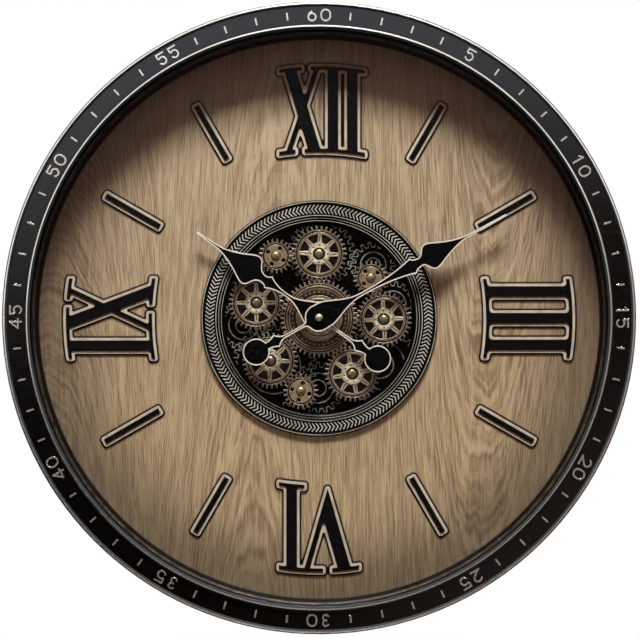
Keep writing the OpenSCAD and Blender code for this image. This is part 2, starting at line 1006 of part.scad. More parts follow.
module gear_plate() {
    color("#141312")
        stand_up()
            difference() {
                union() {
                    disc(plate_r, plate_back, plate_front);
                    plate_relief();
                }
                disc(bush_r + fit_gap, plate_back - 1, plate_front + 1);
                for (place = post_places)
                    at(place)
                        disc(post_r + fit_gap, plate_back - 1, plate_front + 1);
                at(lower_right_pos)
                    disc(drive_bush_r + fit_gap, plate_back - 1, plate_front + 1);
                at_each(plate_screw_r, plate_screw_count, 30)
                    disc(screw_r + fit_gap, plate_back - 1, plate_front + 1);
                for (place = drive_screw_places)
                    at(place)
                        disc(screw_r + fit_gap, plate_back - 1, plate_back + plate_t - 0.8);
            }
}

module plate_screws() {
    color("#b9bcc0")
        stand_up()
            at_each(plate_screw_r, plate_screw_count, 30)
                translate([0, 0, plate_back])
                    screw(plate_screw_len);
}

module gear_posts() {
    color("#9c7b45")
        stand_up()
            for (place = post_places)
                at(place) {
                    disc(post_r, plate_back, cap_back + cap_h / 2);
                    disc(collar_r, plate_front, plate_front + collar_h);
                }
}

module post_caps() {
    color("#c9ad74")
        stand_up()
            for (place = post_places)
                at(place)
                    difference() {
                        disc(cap_r, cap_back, cap_back + cap_h);
                        disc(post_r + fit_gap, cap_back - 1, cap_back + cap_h / 2 + fit_gap);
                    }
}

module centre_sleeve() {
    color("#9c7b45")
        stand_up()
            difference() {
                union() {
                    disc(sleeve_r, plate_front, sleeve_top);
                    disc(sleeve_r + 3, plate_front, plate_front + collar_h);
                }
                disc(bush_r + fit_gap, plate_front - 1, sleeve_top + 1);
            }
}

module nut_washer() {
    color("#b08d55")
        stand_up()
            ring(sleeve_r + 4, bush_r + fit_gap, sleeve_top, nut_back);
}

module bush_nut() {
    color("#b8975e")
        stand_up()
            difference() {
                translate([0, 0, nut_back])
                    cylinder(r = bush_r + 3, h = nut_h, $fn = 6);
                disc(bush_r + fit_gap, nut_back - 1, nut_front + 1);
            }
}

// Toothed disc with a groove inside the tooth roots, from z = 0
module toothed_disc(teeth, turn) {
    pitch = pitch_r(teeth, gear_module);
    root = pitch - tooth_in;
    difference() {
        linear_extrude(gear_t)
            rotate(turn)
                polygon(gear_outline(teeth, root, pitch + tooth_out, root_part, tip_part));
        ring(root - 0.45, root - 2, gear_t - 0.7, gear_t + 1);
    }
}

// Large gear with eight spokes over a closed web
module spoked_gear(turn) {
    root = planet_pitch - tooth_in;
    spokes = 8;
    dot_r = 0.8;
    dot_at = (hub_r + cap_r + 1) / 2;
    translate([0, 0, gear_back])
        difference() {
            union() {
                toothed_disc(planet_teeth, turn);
                disc(hub_r - 0.6, 0, gear_t + hub_rise);
            }
            translate([0, 0, web_t])
                linear_extrude(gear_t)
                    difference() {
                        ring_2d(root - rim_w, hub_r);
                        rotate(turn)
                            for (i = [0 : spokes - 1])
                                rotate(360 * i / spokes)
                                    polygon([
                                        [0, -spoke_w / 2],
                                        [hub_r, -spoke_w / 2],
                                        [root, -spoke_w * 0.25],
                                        [root, spoke_w * 0.25],
                                        [hub_r, spoke_w / 2],
                                        [0, spoke_w / 2]
                                    ]);
                    }
            rotate(turn)
                at_each(dot_at, spokes, 0)
                    disc(dot_r, gear_t - 0.8, gear_t + 2);
            rotate(turn)
                for (i = [0 : spokes - 1])
                    rotate(360 * i / spokes)
                        block([hub_r + 1, -0.5, gear_t - 0.5], [root - rim_w - 0.8, 0.5, gear_t + 1]);
            disc(cap_r + 1.3, gear_t - recess_depth, gear_t + 2);
            disc(post_r + run_gap, -1, gear_t + 2);
        }
}

// Small gear with four holes
module drilled_gear(turn) {
    root = small_pitch - tooth_in;
    hole_at = (root - 1.5 + cap_r + 1.2) / 2;
    translate([0, 0, gear_back])
        difference() {
            toothed_disc(small_teeth, turn);
            rotate(turn)
                at_each(hole_at, 4, 45)
                    disc(drilled_r, -1, gear_t + 1);
            disc(cap_r + 0.6, gear_t - recess_depth, gear_t + 2);
            disc(post_r + run_gap, -1, gear_t + 2);
        }
}

module centre_gear() {
    root = sun_pitch - tooth_in;
    dots = 36;
    dot_at = root - 7.8;
    color("#9a7a48")
        stand_up()
            translate([0, 0, gear_back])
                difference() {
                    union() {
                        toothed_disc(sun_teeth, 0);
                        disc(root - 14, 0, gear_t + hub_rise);
                    }
                    ring(root - 5.4, root - 6.2, gear_t - 0.6, gear_t + 1);
                    at_each(dot_at, dots, 0)
                        disc(0.9, gear_t - 0.8, gear_t + 1);
                    ring(root - 9.6, root - 11.2, gear_t - 0.8, gear_t + 1);
                    ring(root - 15.4, root - 17, gear_t - 0.4, gear_t + 2);
                    disc(sleeve_r + run_gap, -1, gear_t + 2);
                }
}

module top_gear() {
    color("#a5854f")
        stand_up()
            at(top_pos)
                spoked_gear(top_turn);
}

module right_gear() {
    color("#a5854f")
        stand_up()
            at(right_pos)
                spoked_gear(right_turn);
}

module lower_right_gear() {
    color("#a5854f")
        stand_up()
            at(lower_right_pos)
                spoked_gear(lower_right_turn);
}

module lower_left_gear() {
    color("#a5854f")
        stand_up()
            at(lower_left_pos)
                spoked_gear(lower_left_turn);
}

module left_gear() {
    color("#a5854f")
        stand_up()
            at(left_pos)
                spoked_gear(left_turn);
}

module upper_left_pinion() {
    color("#b39258")
        stand_up()
            at(upper_left_pos)
                drilled_gear(upper_left_turn);
}

module upper_right_pinion() {
    color("#b39258")
        stand_up()
            at(upper_right_pos)
                drilled_gear(upper_right_turn);
}

module lower_pinion() {
    color("#b39258")
        stand_up()
            at(lower_pos)
                drilled_gear(lower_turn);
}

// Arbor that carries the driven gear through the plate
module drive_arbor() {
    color("#c9ad74")
        stand_up()
            at(lower_right_pos) {
                disc(post_r, output_back, cap_back + cap_h);
                disc(cap_r, cap_back, cap_back + cap_h);
            }
}

module drive_bush() {
    color("#9c7b45")
        stand_up()
            at(lower_right_pos)
                difference() {
                    union() {
                        disc(drive_bush_r, plate_back - drive_wall, plate_front + eps);
                        disc(collar_r, plate_front, plate_front + collar_h);
                    }
                    disc(post_r + run_gap, plate_back - drive_wall - 1, gear_back);
                }
}

// Wheel or pinion of a train, from z = 0
module train_wheel(teeth, size, thick, turn) {
    pitch = pitch_r(teeth, size);
    linear_extrude(thick)
        rotate(turn)
            polygon(gear_outline(
                teeth, pitch - train_in * size, pitch + train_out * size, train_root_part, train_tip_part
            ));
}

module output_wheel() {
    color("#e6e2d6")
        stand_up()
            at(lower_right_pos)
                difference() {
                    translate([0, 0, output_back])
                        train_wheel(drive_teeth, drive_module, wheel_t, output_turn);
                    disc(post_r + fit_gap, output_back - 1, plate_back);
                }
}

module idler_gear() {
    color("#e6e2d6")
        stand_up()
            at(idler_pos)
                difference() {
                    union() {
                        translate([0, 0, idler_wheel_back])
                            train_wheel(drive_teeth, drive_module, wheel_t, idler_turn);
                        translate([0, 0, idler_wheel_back])
                            train_wheel(
                                drive_leaves, drive_module,
                                output_back + wheel_t - idler_wheel_back, idler_turn
                            );
                    }
                    disc(stud_r + run_gap, idler_wheel_back - 1, plate_back);
                }
}

module motor_rotor() {
    color("#c0c3c7")
        stand_up()
            at(motor_pos) {
                disc(rotor_shaft_r, drive_back + rear_bearing_t, idler_wheel_back);
                disc(rotor_r, drive_back + 4, motor_front - 3);
                translate([0, 0, idler_wheel_back - eps])
                    train_wheel(drive_leaves, drive_module, wheel_t, rotor_turn);
            }
}

module motor_can() {
    color("#9b9ea3")
        stand_up()
            at(motor_pos)
                difference() {
                    disc(motor_r, drive_back + end_gap, motor_front);
                    disc(rotor_r + 1, drive_back + 3, motor_front - 2);
                    disc(rotor_shaft_r + run_gap, drive_back + rear_bearing_t - 0.2, motor_front + 1);
                }
}

cover_screw_places = [
    [drive_right - boss_r, drive_low + boss_r],
    [drive_right - boss_r, drive_top - boss_r]
];
sunk_screw_places = [
    [drive_left + boss_r, drive_low + boss_r],
    [drive_left + boss_r, drive_top - boss_r]
];
drive_screw_places = concat(cover_screw_places, sunk_screw_places);

// Case with a bay for the cells and a bay for the train, open to the wall
module drive_case() {
    inner_back = drive_back - 1;
    inner_front = plate_back - drive_wall;
    color("#26282b")
        stand_up()
            difference() {
                union() {
                    difference() {
                        block(
                            [drive_left, drive_low, drive_back],
                            [drive_right, drive_top, plate_back]
                        );
                        block(
                            [drive_left + drive_wall, drive_low + drive_wall, inner_back],
                            [drive_mid - drive_wall, drive_top - drive_wall, inner_front]
                        );
                        block(
                            [drive_mid, drive_low + drive_wall, inner_back],
                            [drive_right - drive_wall, drive_top - drive_wall, inner_front]
                        );
                    }
                    for (place = drive_screw_places)
                        at(place)
                            disc(boss_r, drive_back, plate_back);
                    at(idler_pos)
                        disc(stud_r, idler_wheel_back - 0.6, plate_back);
                    cell_cradles();
                }
                for (place = drive_screw_places)
                    at(place)
                        disc(screw_r + fit_gap, drive_back - 1, plate_back + 1);
                for (place = sunk_screw_places)
                    at(place)
                        disc(screw_head_r + 0.2, drive_back - 1, drive_back + head_sink);
                at(lower_right_pos)
                    disc(drive_bush_r + fit_gap, inner_front - 1, plate_back + 1);
                for (side = [0, 1])
                    mirror_about(drive_middle, side)
                        block(
                            [drive_left - 1, drive_low - 1, hook_back - lip_gap],
                            [lid_right + lip_gap, drive_low + hook_deep, hook_back + hook_t + lip_gap]
                        );
            }
}

// Children, or their mirror image about a height
module mirror_about(height, side) {
    translate([0, side * 2 * height, 0])
        mirror([0, side, 0])
            children();
}

// Ribs that the cells rest on
module cell_cradles() {
    rib_t = 2;
    rib_low = drive_cell_y - cell_pitch;
    rib_high = drive_cell_y + cell_pitch;
    bay_left = drive_left + drive_wall;
    for (share = [0.25, 0.75])
        difference() {
            block(
                [bay_left + cell_bay * share - rib_t / 2, rib_low, drive_cell_z],
                [bay_left + cell_bay * share + rib_t / 2, rib_high, plate_back - drive_wall + eps]
            );
            for (side = [-0.5, 0.5])
                translate([bay_left, drive_cell_y + side * cell_pitch, drive_cell_z])
                    rotate([0, 90, 0])
                        cylinder(r = cell_r + 0.05, h = cell_bay);
        }
}

module drive_cover() {
    color("#2b2d30")
        stand_up()
            difference() {
                block(
                    [drive_mid - drive_wall / 2 + 0.2, drive_low, drive_back - cover_t],
                    [drive_right, drive_top, drive_back]
                );
                for (place = cover_screw_places)
                    at(place)
                        disc(screw_r + fit_gap, drive_back - cover_t - 1, drive_back + 1);
            }
}

module drive_screws() {
    tip = plate_back + plate_t - 1;
    color("#b9bcc0")
        stand_up() {
            for (place = cover_screw_places)
                at(place, drive_back - cover_t)
                    screw(tip - drive_back + cover_t);
            for (place = sunk_screw_places)
                at(place, drive_back + head_sink)
                    screw(tip - drive_back - head_sink);
        }
}

// Cell from x = 0 with its small end to the right
module cell() {
    rotate([0, 90, 0]) {
        cylinder(r = cell_r, h = cell_len);
        cylinder(r = cell_tip_r, h = cell_len + cell_tip);
    }
}

module drive_cells() {
    start = drive_left + drive_wall + contact_t + 0.3;
    color("#3f6f56")
        stand_up() {
            translate([start, drive_cell_y + cell_pitch / 2, drive_cell_z])
                cell();
            translate([start + cell_len + cell_tip, drive_cell_y - cell_pitch / 2, drive_cell_z])
                mirror([1, 0, 0])
                    cell();
        }
}

module drive_contacts() {
    left = drive_left + drive_wall;
    right = left + cell_bay;
    low = drive_cell_y - cell_pitch;
    high = drive_cell_y + cell_pitch;
    back = drive_back + 2;
    front = drive_cell_z + 4;
    color("#d0d2d4")
        stand_up() {
            block([left, low, back], [left + contact_t, high, front]);
            block([right - contact_t, low, back], [right, drive_cell_y - 1, front]);
            block([right - contact_t, drive_cell_y + 1, back], [right, high, front]);
        }
}

// Cover that slides off to the left, with lips hooked into the case's grooves
module battery_cover() {
    lip_low = drive_low - lip_gap - lip_t;
    lid_back = drive_back - cover_t;
    color("#2b2d30")
        stand_up() {
            block(
                [drive_left, lip_low, lid_back],
                [lid_right, 2 * drive_middle - lip_low, drive_back - 0.1]
            );
            for (side = [0, 1])
                mirror_about(drive_middle, side) {
                    block([drive_left, lip_low, lid_back], [lid_right, lip_low + lip_t, hook_back + hook_t]);
                    block(
                        [drive_left, lip_low, hook_back],
                        [lid_right, drive_low + hook_deep - lip_gap, hook_back + hook_t]
                    );
                }
        }
}

module movement_pad() {
    color("#1d1d1d")
        stand_up()
            translate([0, 0, movement_front_z])
                linear_extrude(pad_t)
                    difference() {
                        square(movement_w * 0.7, center = true);
                        circle(bush_r + fit_gap);
                    }
}

// Square shell of the movement between two levels
module movement_shell(back, front, floor_back, floor_front) {
    half = movement_w / 2;
    inner = half - movement_wall;
    difference() {
        block([-half, -half, back], [half, half, front]);
        block([-inner, -inner, floor_back], [inner, bay_low - movement_wall, floor_front]);
        block([-inner, bay_low, floor_back], [inner, inner, floor_front]);
    }
}

movement_split = hour_wheel_back - 0.3;

module movement_front() {
    color("#1f2123")
        stand_up()
            difference() {
                movement_shell(
                    movement_split, movement_front_z, movement_split - 1, movement_front_z - movement_wall
                );
                disc(bush_r + fit_gap, movement_split, movement_front_z + 1);
            }
}

module movement_back() {
    inner = movement_w / 2 - movement_wall;
    color("#27292c")
        stand_up()
            difference() {
                union() {
                    movement_shell(
                        movement_back_z, movement_split, movement_back_z + movement_wall, movement_split + 1
                    );
                    ring(arbor_r + 1.5, arbor_r + run_gap, movement_back_z + 1, motion_back - 0.6);
                    at(motion_pos)
                        disc(stud_r, movement_back_z + 1, hour_wheel_back + hour_wheel_t);
                    at(motion_pos)
                        disc(stud_r + 1.2, movement_back_z + 1, motion_back - end_gap);
                }
                block(
                    [-inner, bay_low, movement_back_z - 1],
                    [inner, inner, movement_split]
                );
                at(knob_pos)
                    disc(knob_shaft_r + run_gap, movement_back_z - 1, movement_back_z + movement_wall + 1);
            }
}

module movement_bush() {
    color("#c2a05f")
        stand_up()
            difference() {
                union() {
                    disc(bush_r, movement_front_z - movement_wall, nut_front + 0.4);
                    disc(
                        bush_head_r,
                        movement_front_z - movement_wall - bush_head_t,
                        movement_front_z - movement_wall
                    );
                }
                disc(tube_r + run_gap, 0, nut_front + 2);
            }
}

module movement_coil() {
    coil_r = 3.2;
    coil_x = movement_w / 2 - movement_wall - coil_r - 1;
    coil_low = -movement_w / 2 + movement_wall + 3;
    coil_high = coil_low + 24;
    coil_z = movement_split + coil_r + 0.4;
    color("#a8582c")
        stand_up() {
            translate([coil_x, coil_low, coil_z])
                rotate([-90, 0, 0])
                    cylinder(r = coil_r, h = coil_high - coil_low);
            for (y = [coil_low - 1.2, coil_high])
                block(
                    [coil_x - coil_r - 0.6, y, coil_z - coil_r - 0.3],
                    [coil_x + coil_r + 0.6, y + 1.2, coil_z + coil_r]
                );
        }
}

module movement_board() {
    left = -movement_w / 2 + movement_wall + 0.3;
    low = -movement_w / 2 + movement_wall + 0.3;
    back = movement_front_z - movement_wall - 1.2;
    color("#2f6b3c")
        stand_up() {
            block([left, low, back], [left + 12, low + 30, movement_front_z - movement_wall]);
            block([left + 3, low + 10, back - 1], [left + 9, low + 16, back + eps]);
        }
}

module movement_cell() {
    color("#3f6f56")
        stand_up()
            translate([-cell_len / 2 - 0.5, bay_mid, movement_cell_z])
                cell();
}

module movement_contacts() {
    wide = 8;
    left = -cell_len / 2 - 0.5;
    right = left + cell_len + cell_tip;
    color("#d0d2d4")
        stand_up() {
            block(
                [left - contact_t, bay_mid - wide / 2, movement_back_z + 3],
                [left, bay_mid + wide / 2, movement_cell_z + 4]
            );
            block(
                [right, bay_mid - wide / 2, movement_back_z + 3],
                [right + contact_t, bay_mid + wide / 2, movement_cell_z + 4]
            );
        }
}

module minute_arbor() {
    color("#c8ccd0")
        stand_up()
            rotate(-minute_angle) {
                disc(arbor_r, movement_back_z + movement_wall + 0.2, hand_nut_front - 0.6);
                translate([0, 0, motion_back])
                    train_wheel(cannon_teeth, motion_module, motion_t, minute_angle);
            }
}

module minute_wheel() {
    color("#e9e6dc")
        stand_up()
            at(motion_pos)
                difference() {
                    union() {
                        translate([0, 0, motion_back])
                            train_wheel(motion_teeth, motion_module, motion_t, motion_turn);
                        translate([0, 0, motion_back])
                            train_wheel(
                                motion_leaves, hour_module,
                                hour_wheel_back + hour_wheel_t - motion_back, leaves_turn
                            );
                    }
                    disc(stud_r + run_gap, 0, plate_back);
                }
}

module hour_wheel() {
    color("#e9e6dc")
        stand_up()
            difference() {
                union() {
                    translate([0, 0, hour_wheel_back])
                        train_wheel(hour_teeth, hour_module, hour_wheel_t, hour_turn);
                    disc(tube_r, hour_wheel_back, hour_front + 0.4);
                }
                disc(arbor_r + run_gap, 0, hour_front + 2);
            }
}

module setting_knob() {
    knob_h = 3.6;
    color("#3a3d41")
        stand_up()
            at(knob_pos) {
                translate([0, 0, movement_back_z - 0.4 - knob_h])
                    cylinder(r = knob_r, h = knob_h, $fn = 12);
                disc(knob_shaft_r, movement_back_z - 0.5, motion_back + eps);
                translate([0, 0, motion_back])
                    train_wheel(cannon_teeth, motion_module, motion_t, knob_turn);
            }
}

// Half widths along a hand between two places; bend above 0 starts flat, below 0 ends flat
function run_of(u0, w0, u1, w1, bend) = [
    for (i = [1 : 10])
        let (t = i / 10, s = bend > 0 ? pow(t, bend) : 1 - pow(1 - t, -bend))
        [u0 + (u1 - u0) * t, w0 + (w1 - w0) * s]
];
// Smooth line through the given points
function smooth_of(p) = [
    for (i = [0 : len(p) - 2], j = [1 : 5])
        let (
            t = j / 5,
            a = p[max(i - 1, 0)],
            b = p[i],
            c = p[i + 1],
            d = p[min(i + 2, len(p) - 1)]
        )
        b + t * ((c - a) + t * ((2 * a - 5 * b + 4 * c - d) + t * (3 * b - a - 3 * c + d))) / 2
];

// Upper edge of a hand from its tail to its tip
function hand_edge(length, waist_u, waist_w, flare_u, flare_w, blade_u, blade_w, needle_w) =
    let (
        neck_w = 3.7,
        cusp_w = 6.6,
        stem_w = 1.6,
        stem_from = tail_u - 32,
        stem_to = hand_hub + 3.6,
        neck_u = tail_u - sqrt(tail_r * tail_r - neck_w * neck_w),
        cusp_u = neck_u - 10,
        open = asin(neck_w / tail_r)
    )
    concat(
        [
            for (i = [0 : 12])
                let (a = 180 - (180 - open) * i / 12)
                [tail_r * cos(a) - tail_u, tail_r * sin(a)]
        ],
        run_of(-neck_u, neck_w, -cusp_u, cusp_w, 2),
        run_of(-cusp_u, cusp_w, -stem_from, stem_w, -2.4),
        smooth_of([
            [-stem_from, stem_w],
            [-stem_to, stem_w],
            [-hand_hub, hand_hub * 0.3],
            [-hand_hub * 0.9, hand_hub * 0.52],
            [-hand_hub * 0.68, hand_hub * 0.8],
            [-hand_hub * 0.3, hand_hub * 0.98],
            [hand_hub * 0.15, hand_hub],
            [waist_u * 0.22, hand_hub * 0.93],
            [waist_u * 0.42, hand_hub * 0.65],
            [waist_u * 0.6, hand_hub * 0.38],
            [waist_u * 0.8, hand_hub * 0.18],
            [waist_u, waist_w]
        ]),
        run_of(waist_u, waist_w, flare_u, flare_w, 2.4),
        smooth_of([
            [flare_u, flare_w],
            [flare_u + 2.4, flare_w * 0.7],
            [flare_u + 6, flare_w * 0.58],
            [blade_u - 10.5, blade_w * 0.35],
            [blade_u - 7.8, blade_w * 0.54],
            [blade_u - 5.2, blade_w * 0.83],
            [blade_u - 2.8, blade_w * 0.96],
            [blade_u, blade_w],
            [blade_u + 4, blade_w * 0.93],
            [blade_u + 9, blade_w * 0.77],
            [blade_u + 15.5, blade_w * 0.55],
            [blade_u + 25, blade_w * 0.3],
            [blade_u + 34.5, needle_w * 1.4],
            [blade_u + 46, needle_w]
        ]),
        [[length - needle_w * 0.6, needle_w * 0.7], [length, needle_w * 0.3]]
    );

module hand_2d(edge) {
    polygon(concat(
        edge,
        [for (i = [len(edge) - 1 : -1 : 1]) [edge[i][0], -edge[i][1]]]
    ));
}

// Hand pointing along x with a raised bright edge, and a hole for its arbor
module hand(edge, hole_r) {
    difference() {
        linear_extrude(hand_t + edge_h)
            hand_2d(edge);
        translate([0, 0, hand_t])
            linear_extrude(2 * edge_h)
                offset(delta = -edge_w)
                    hand_2d(edge);
        translate([0, 0, -1])
            cylinder(r = hole_r, h = hand_t + 2);
    }
}

module hour_hand() {
    color("#0f0f10")
        stand_up()
            translate([0, 0, hour_back])
                rotate(90 - hour_angle)
                    hand(
                        hand_edge(
                            hour_len, hour_len * 0.27, 1.8, hour_len * 0.415, 6.8,
                            hour_len * 0.562, hour_blade, 1.5
                        ),
                        tube_r + fit_gap
                    );
}

module minute_hand() {
    color("#0f0f10")
        stand_up()
            translate([0, 0, minute_back])
                rotate(90 - minute_angle)
                    hand(
                        hand_edge(
                            minute_len, minute_len * 0.235, 1.7, minute_len * 0.502, 7.8,
                            minute_len * 0.6, minute_blade, 1.3
                        ),
                        arbor_r + fit_gap
                    );
}

module hand_nut() {
    color("#d8bf88")
        stand_up()
            difference() {
                union() {
                    disc(3.4, minute_back + hand_t, hand_nut_front - 0.8);
                    disc(2.6, minute_back + hand_t, hand_nut_front);
                }
                disc(arbor_r + fit_gap, minute_back, hand_nut_front - 0.5);
            }
}

bezel();
case_band();
hanger_plate();
glass_gasket();
glass();
dial_spacer();
dial_board();
dial_brackets();
bracket_screws();
numeral_xii();
numeral_iii();
numeral_vi();
numeral_ix();
hour_batons();
rope_ring();
gear_plate();
plate_screws();
gear_posts();
post_caps();
centre_sleeve();
nut_washer();
bush_nut();
centre_gear();
top_gear();
right_gear();
lower_right_gear();
lower_left_gear();
left_gear();
upper_left_pinion();
upper_right_pinion();
lower_pinion();
drive_arbor();
drive_bush();
output_wheel();
idler_gear();
motor_rotor();
motor_can();
drive_case();
drive_cover();
drive_screws();
drive_cells();
drive_contacts();
battery_cover();
movement_pad();
movement_front();
movement_back();
movement_bush();
movement_coil();
movement_board();
movement_cell();
movement_contacts();
minute_arbor();
minute_wheel();
hour_wheel();
setting_knob();
hour_hand();
minute_hand();
hand_nut();
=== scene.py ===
"""Looks of the gear wall clock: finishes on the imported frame, domed brass pieces, studio and camera."""

import logging
import math
from abc import ABC, abstractmethod
from dataclasses import dataclass
from enum import Enum

import bpy
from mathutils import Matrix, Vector


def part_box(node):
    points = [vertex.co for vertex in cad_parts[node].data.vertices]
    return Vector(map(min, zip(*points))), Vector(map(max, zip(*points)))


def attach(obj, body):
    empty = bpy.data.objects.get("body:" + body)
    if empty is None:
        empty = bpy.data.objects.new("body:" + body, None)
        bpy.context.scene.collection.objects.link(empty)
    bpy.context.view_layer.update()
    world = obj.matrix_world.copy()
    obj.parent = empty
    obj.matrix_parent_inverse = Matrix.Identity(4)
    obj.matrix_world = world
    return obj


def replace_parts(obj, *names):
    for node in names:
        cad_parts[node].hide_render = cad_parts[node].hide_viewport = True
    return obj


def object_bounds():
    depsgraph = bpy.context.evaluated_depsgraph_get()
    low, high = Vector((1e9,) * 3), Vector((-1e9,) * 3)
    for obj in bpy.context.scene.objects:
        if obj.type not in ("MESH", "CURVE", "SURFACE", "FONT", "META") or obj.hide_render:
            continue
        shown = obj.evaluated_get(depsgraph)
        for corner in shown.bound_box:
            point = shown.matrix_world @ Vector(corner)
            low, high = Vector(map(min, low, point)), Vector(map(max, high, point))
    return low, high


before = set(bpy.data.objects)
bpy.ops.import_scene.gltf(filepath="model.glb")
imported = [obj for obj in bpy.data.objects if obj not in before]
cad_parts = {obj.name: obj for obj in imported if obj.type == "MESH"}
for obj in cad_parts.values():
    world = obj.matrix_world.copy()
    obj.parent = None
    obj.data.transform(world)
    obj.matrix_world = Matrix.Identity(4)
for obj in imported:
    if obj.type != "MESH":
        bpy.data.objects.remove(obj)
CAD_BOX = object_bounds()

log = logging.getLogger("gear_wall_clock")

Socket = bpy.types.NodeSocket
Value = float | Socket
Colour = tuple[float, float, float, float]
Stretch = tuple[float, float, float]
Ramp = tuple[float, float]
Spot = tuple[float, float]
Rings = tuple[tuple[float, float], ...]
Inputs = dict[int | str, object]

MM = 0.001
PHOTO_WIDE = 640
PHOTO_HIGH = 638
NOISE_MEAN = 0.5
WHITE: Colour = (1.0, 1.0, 1.0, 1.0)


def tone(code: str) -> Colour:
    """Turns a screen colour into the linear colour that shaders take.

    Args:
        code: A hash sign and six hexadecimal digits.

    Returns:
        Linear red, green, blue and a full alpha.
    """
    parts = [int(code[i : i + 2], 16) / 255 for i in (1, 3, 5)]
    red, green, blue = (p / 12.92 if p <= 0.04045 else ((p + 0.055) / 1.055) ** 2.4 for p in parts)
    return red, green, blue, 1.0


class Blend(Enum):
    """Ways in which two colours are laid over each other."""

    MIX = "MIX"
    MULTIPLY = "MULTIPLY"


class Tree:
    """Node tree, built from a few plain words."""

    MIX_COLOURS = (0, 6, 7)

    def __init__(self, owner: bpy.types.Material | bpy.types.World) -> None:
        """Empties the owner's node tree.

        Args:
            owner: Material or world that holds the tree.
        """
        owner.use_nodes = True
        self.tree = owner.node_tree
        self.tree.nodes.clear()

    def add(self, kind: str, inputs: Inputs | None = None, **settings: object) -> bpy.types.Node:
        """Adds a node.

        Args:
            kind: Blender's name of the node type.
            inputs: What its inputs are linked or set to, by their numbers or names.
            **settings: Properties of the node, set before its inputs.

        Returns:
            The new node.
        """
        node = self.tree.nodes.new(kind)
        for key, value in settings.items():
            setattr(node, key, value)
        for key, value in (inputs or {}).items():
            self.feed(node.inputs[key], value)
        return node

    def feed(self, socket: Socket, value: object) -> None:
        """Links a socket to another one, or sets its own value.

        Args:
            socket: Input to fill.
            value: Output socket, number, vector or colour.
        """
        if isinstance(value, bpy.types.NodeSocket):
            self.tree.links.new(value, socket)
        else:
            socket.default_value = value

    def math(self, operation: str, *values: Value) -> Socket:
        """Adds a calculation with one to three values.

        Args:
            operation: Blender's name of the operation.
            *values: Numbers or sockets.

        Returns:
            The socket that holds the result.
        """
        return self.add("ShaderNodeMath", dict(enumerate(values)), operation=operation).outputs[0]

    def fold(self, operation: str, first: Value, *others: Value) -> Value:
        """Takes an operation along a row of values.

        Args:
            operation: Blender's name of the operation.
            first: Number or socket.
            *others: More numbers or sockets.

        Returns:
            The socket that holds the result.
        """
        for other in others:
            first = self.math(operation, first, other)
        return first

    def plus(self, *values: Value) -> Value:
        """Adds values together."""
        return self.fold("ADD", *values)

    def minus(self, first: Value, second: Value) -> Socket:
        """Takes the second value from the first."""
        return self.math("SUBTRACT", first, second)

    def times(self, *values: Value) -> Value:
        """Multiplies values."""
        return self.fold("MULTIPLY", *values)

    def largest(self, *values: Value) -> Value:
        """Takes the largest of the values."""
        return self.fold("MAXIMUM", *values)

    def rise(self, value: Value, low: Value, high: Value, start: float = 0.0, end: float = 1.0) -> Socket:
        """Adds a smooth step between two values.

        Args:
            value: What is compared.
            low: Where the step starts.
            high: Where the step ends.
            start: Result at and before low.
            end: Result at and after high.

        Returns:
            The socket that holds the result.
        """
        inputs = dict(enumerate((value, low, high, start, end)))
        return self.add("ShaderNodeMapRange", inputs, interpolation_type="SMOOTHSTEP", clamp=True).outputs[0]

    def mix(self, share: Value, first: object, second: object, blend: Blend = Blend.MIX) -> Socket:
        """Adds a mix of two colours.

        Args:
            share: Share of the second colour.
            first: Colour or socket at share 0.
            second: Colour or socket at share 1.
            blend: How the second colour is laid over the first.

        Returns:
            The socket that holds the colour.
        """
        inputs = dict(zip(self.MIX_COLOURS, (share, first, second)))
        return self.add("ShaderNodeMix", inputs, data_type="RGBA", blend_type=blend.value).outputs[2]


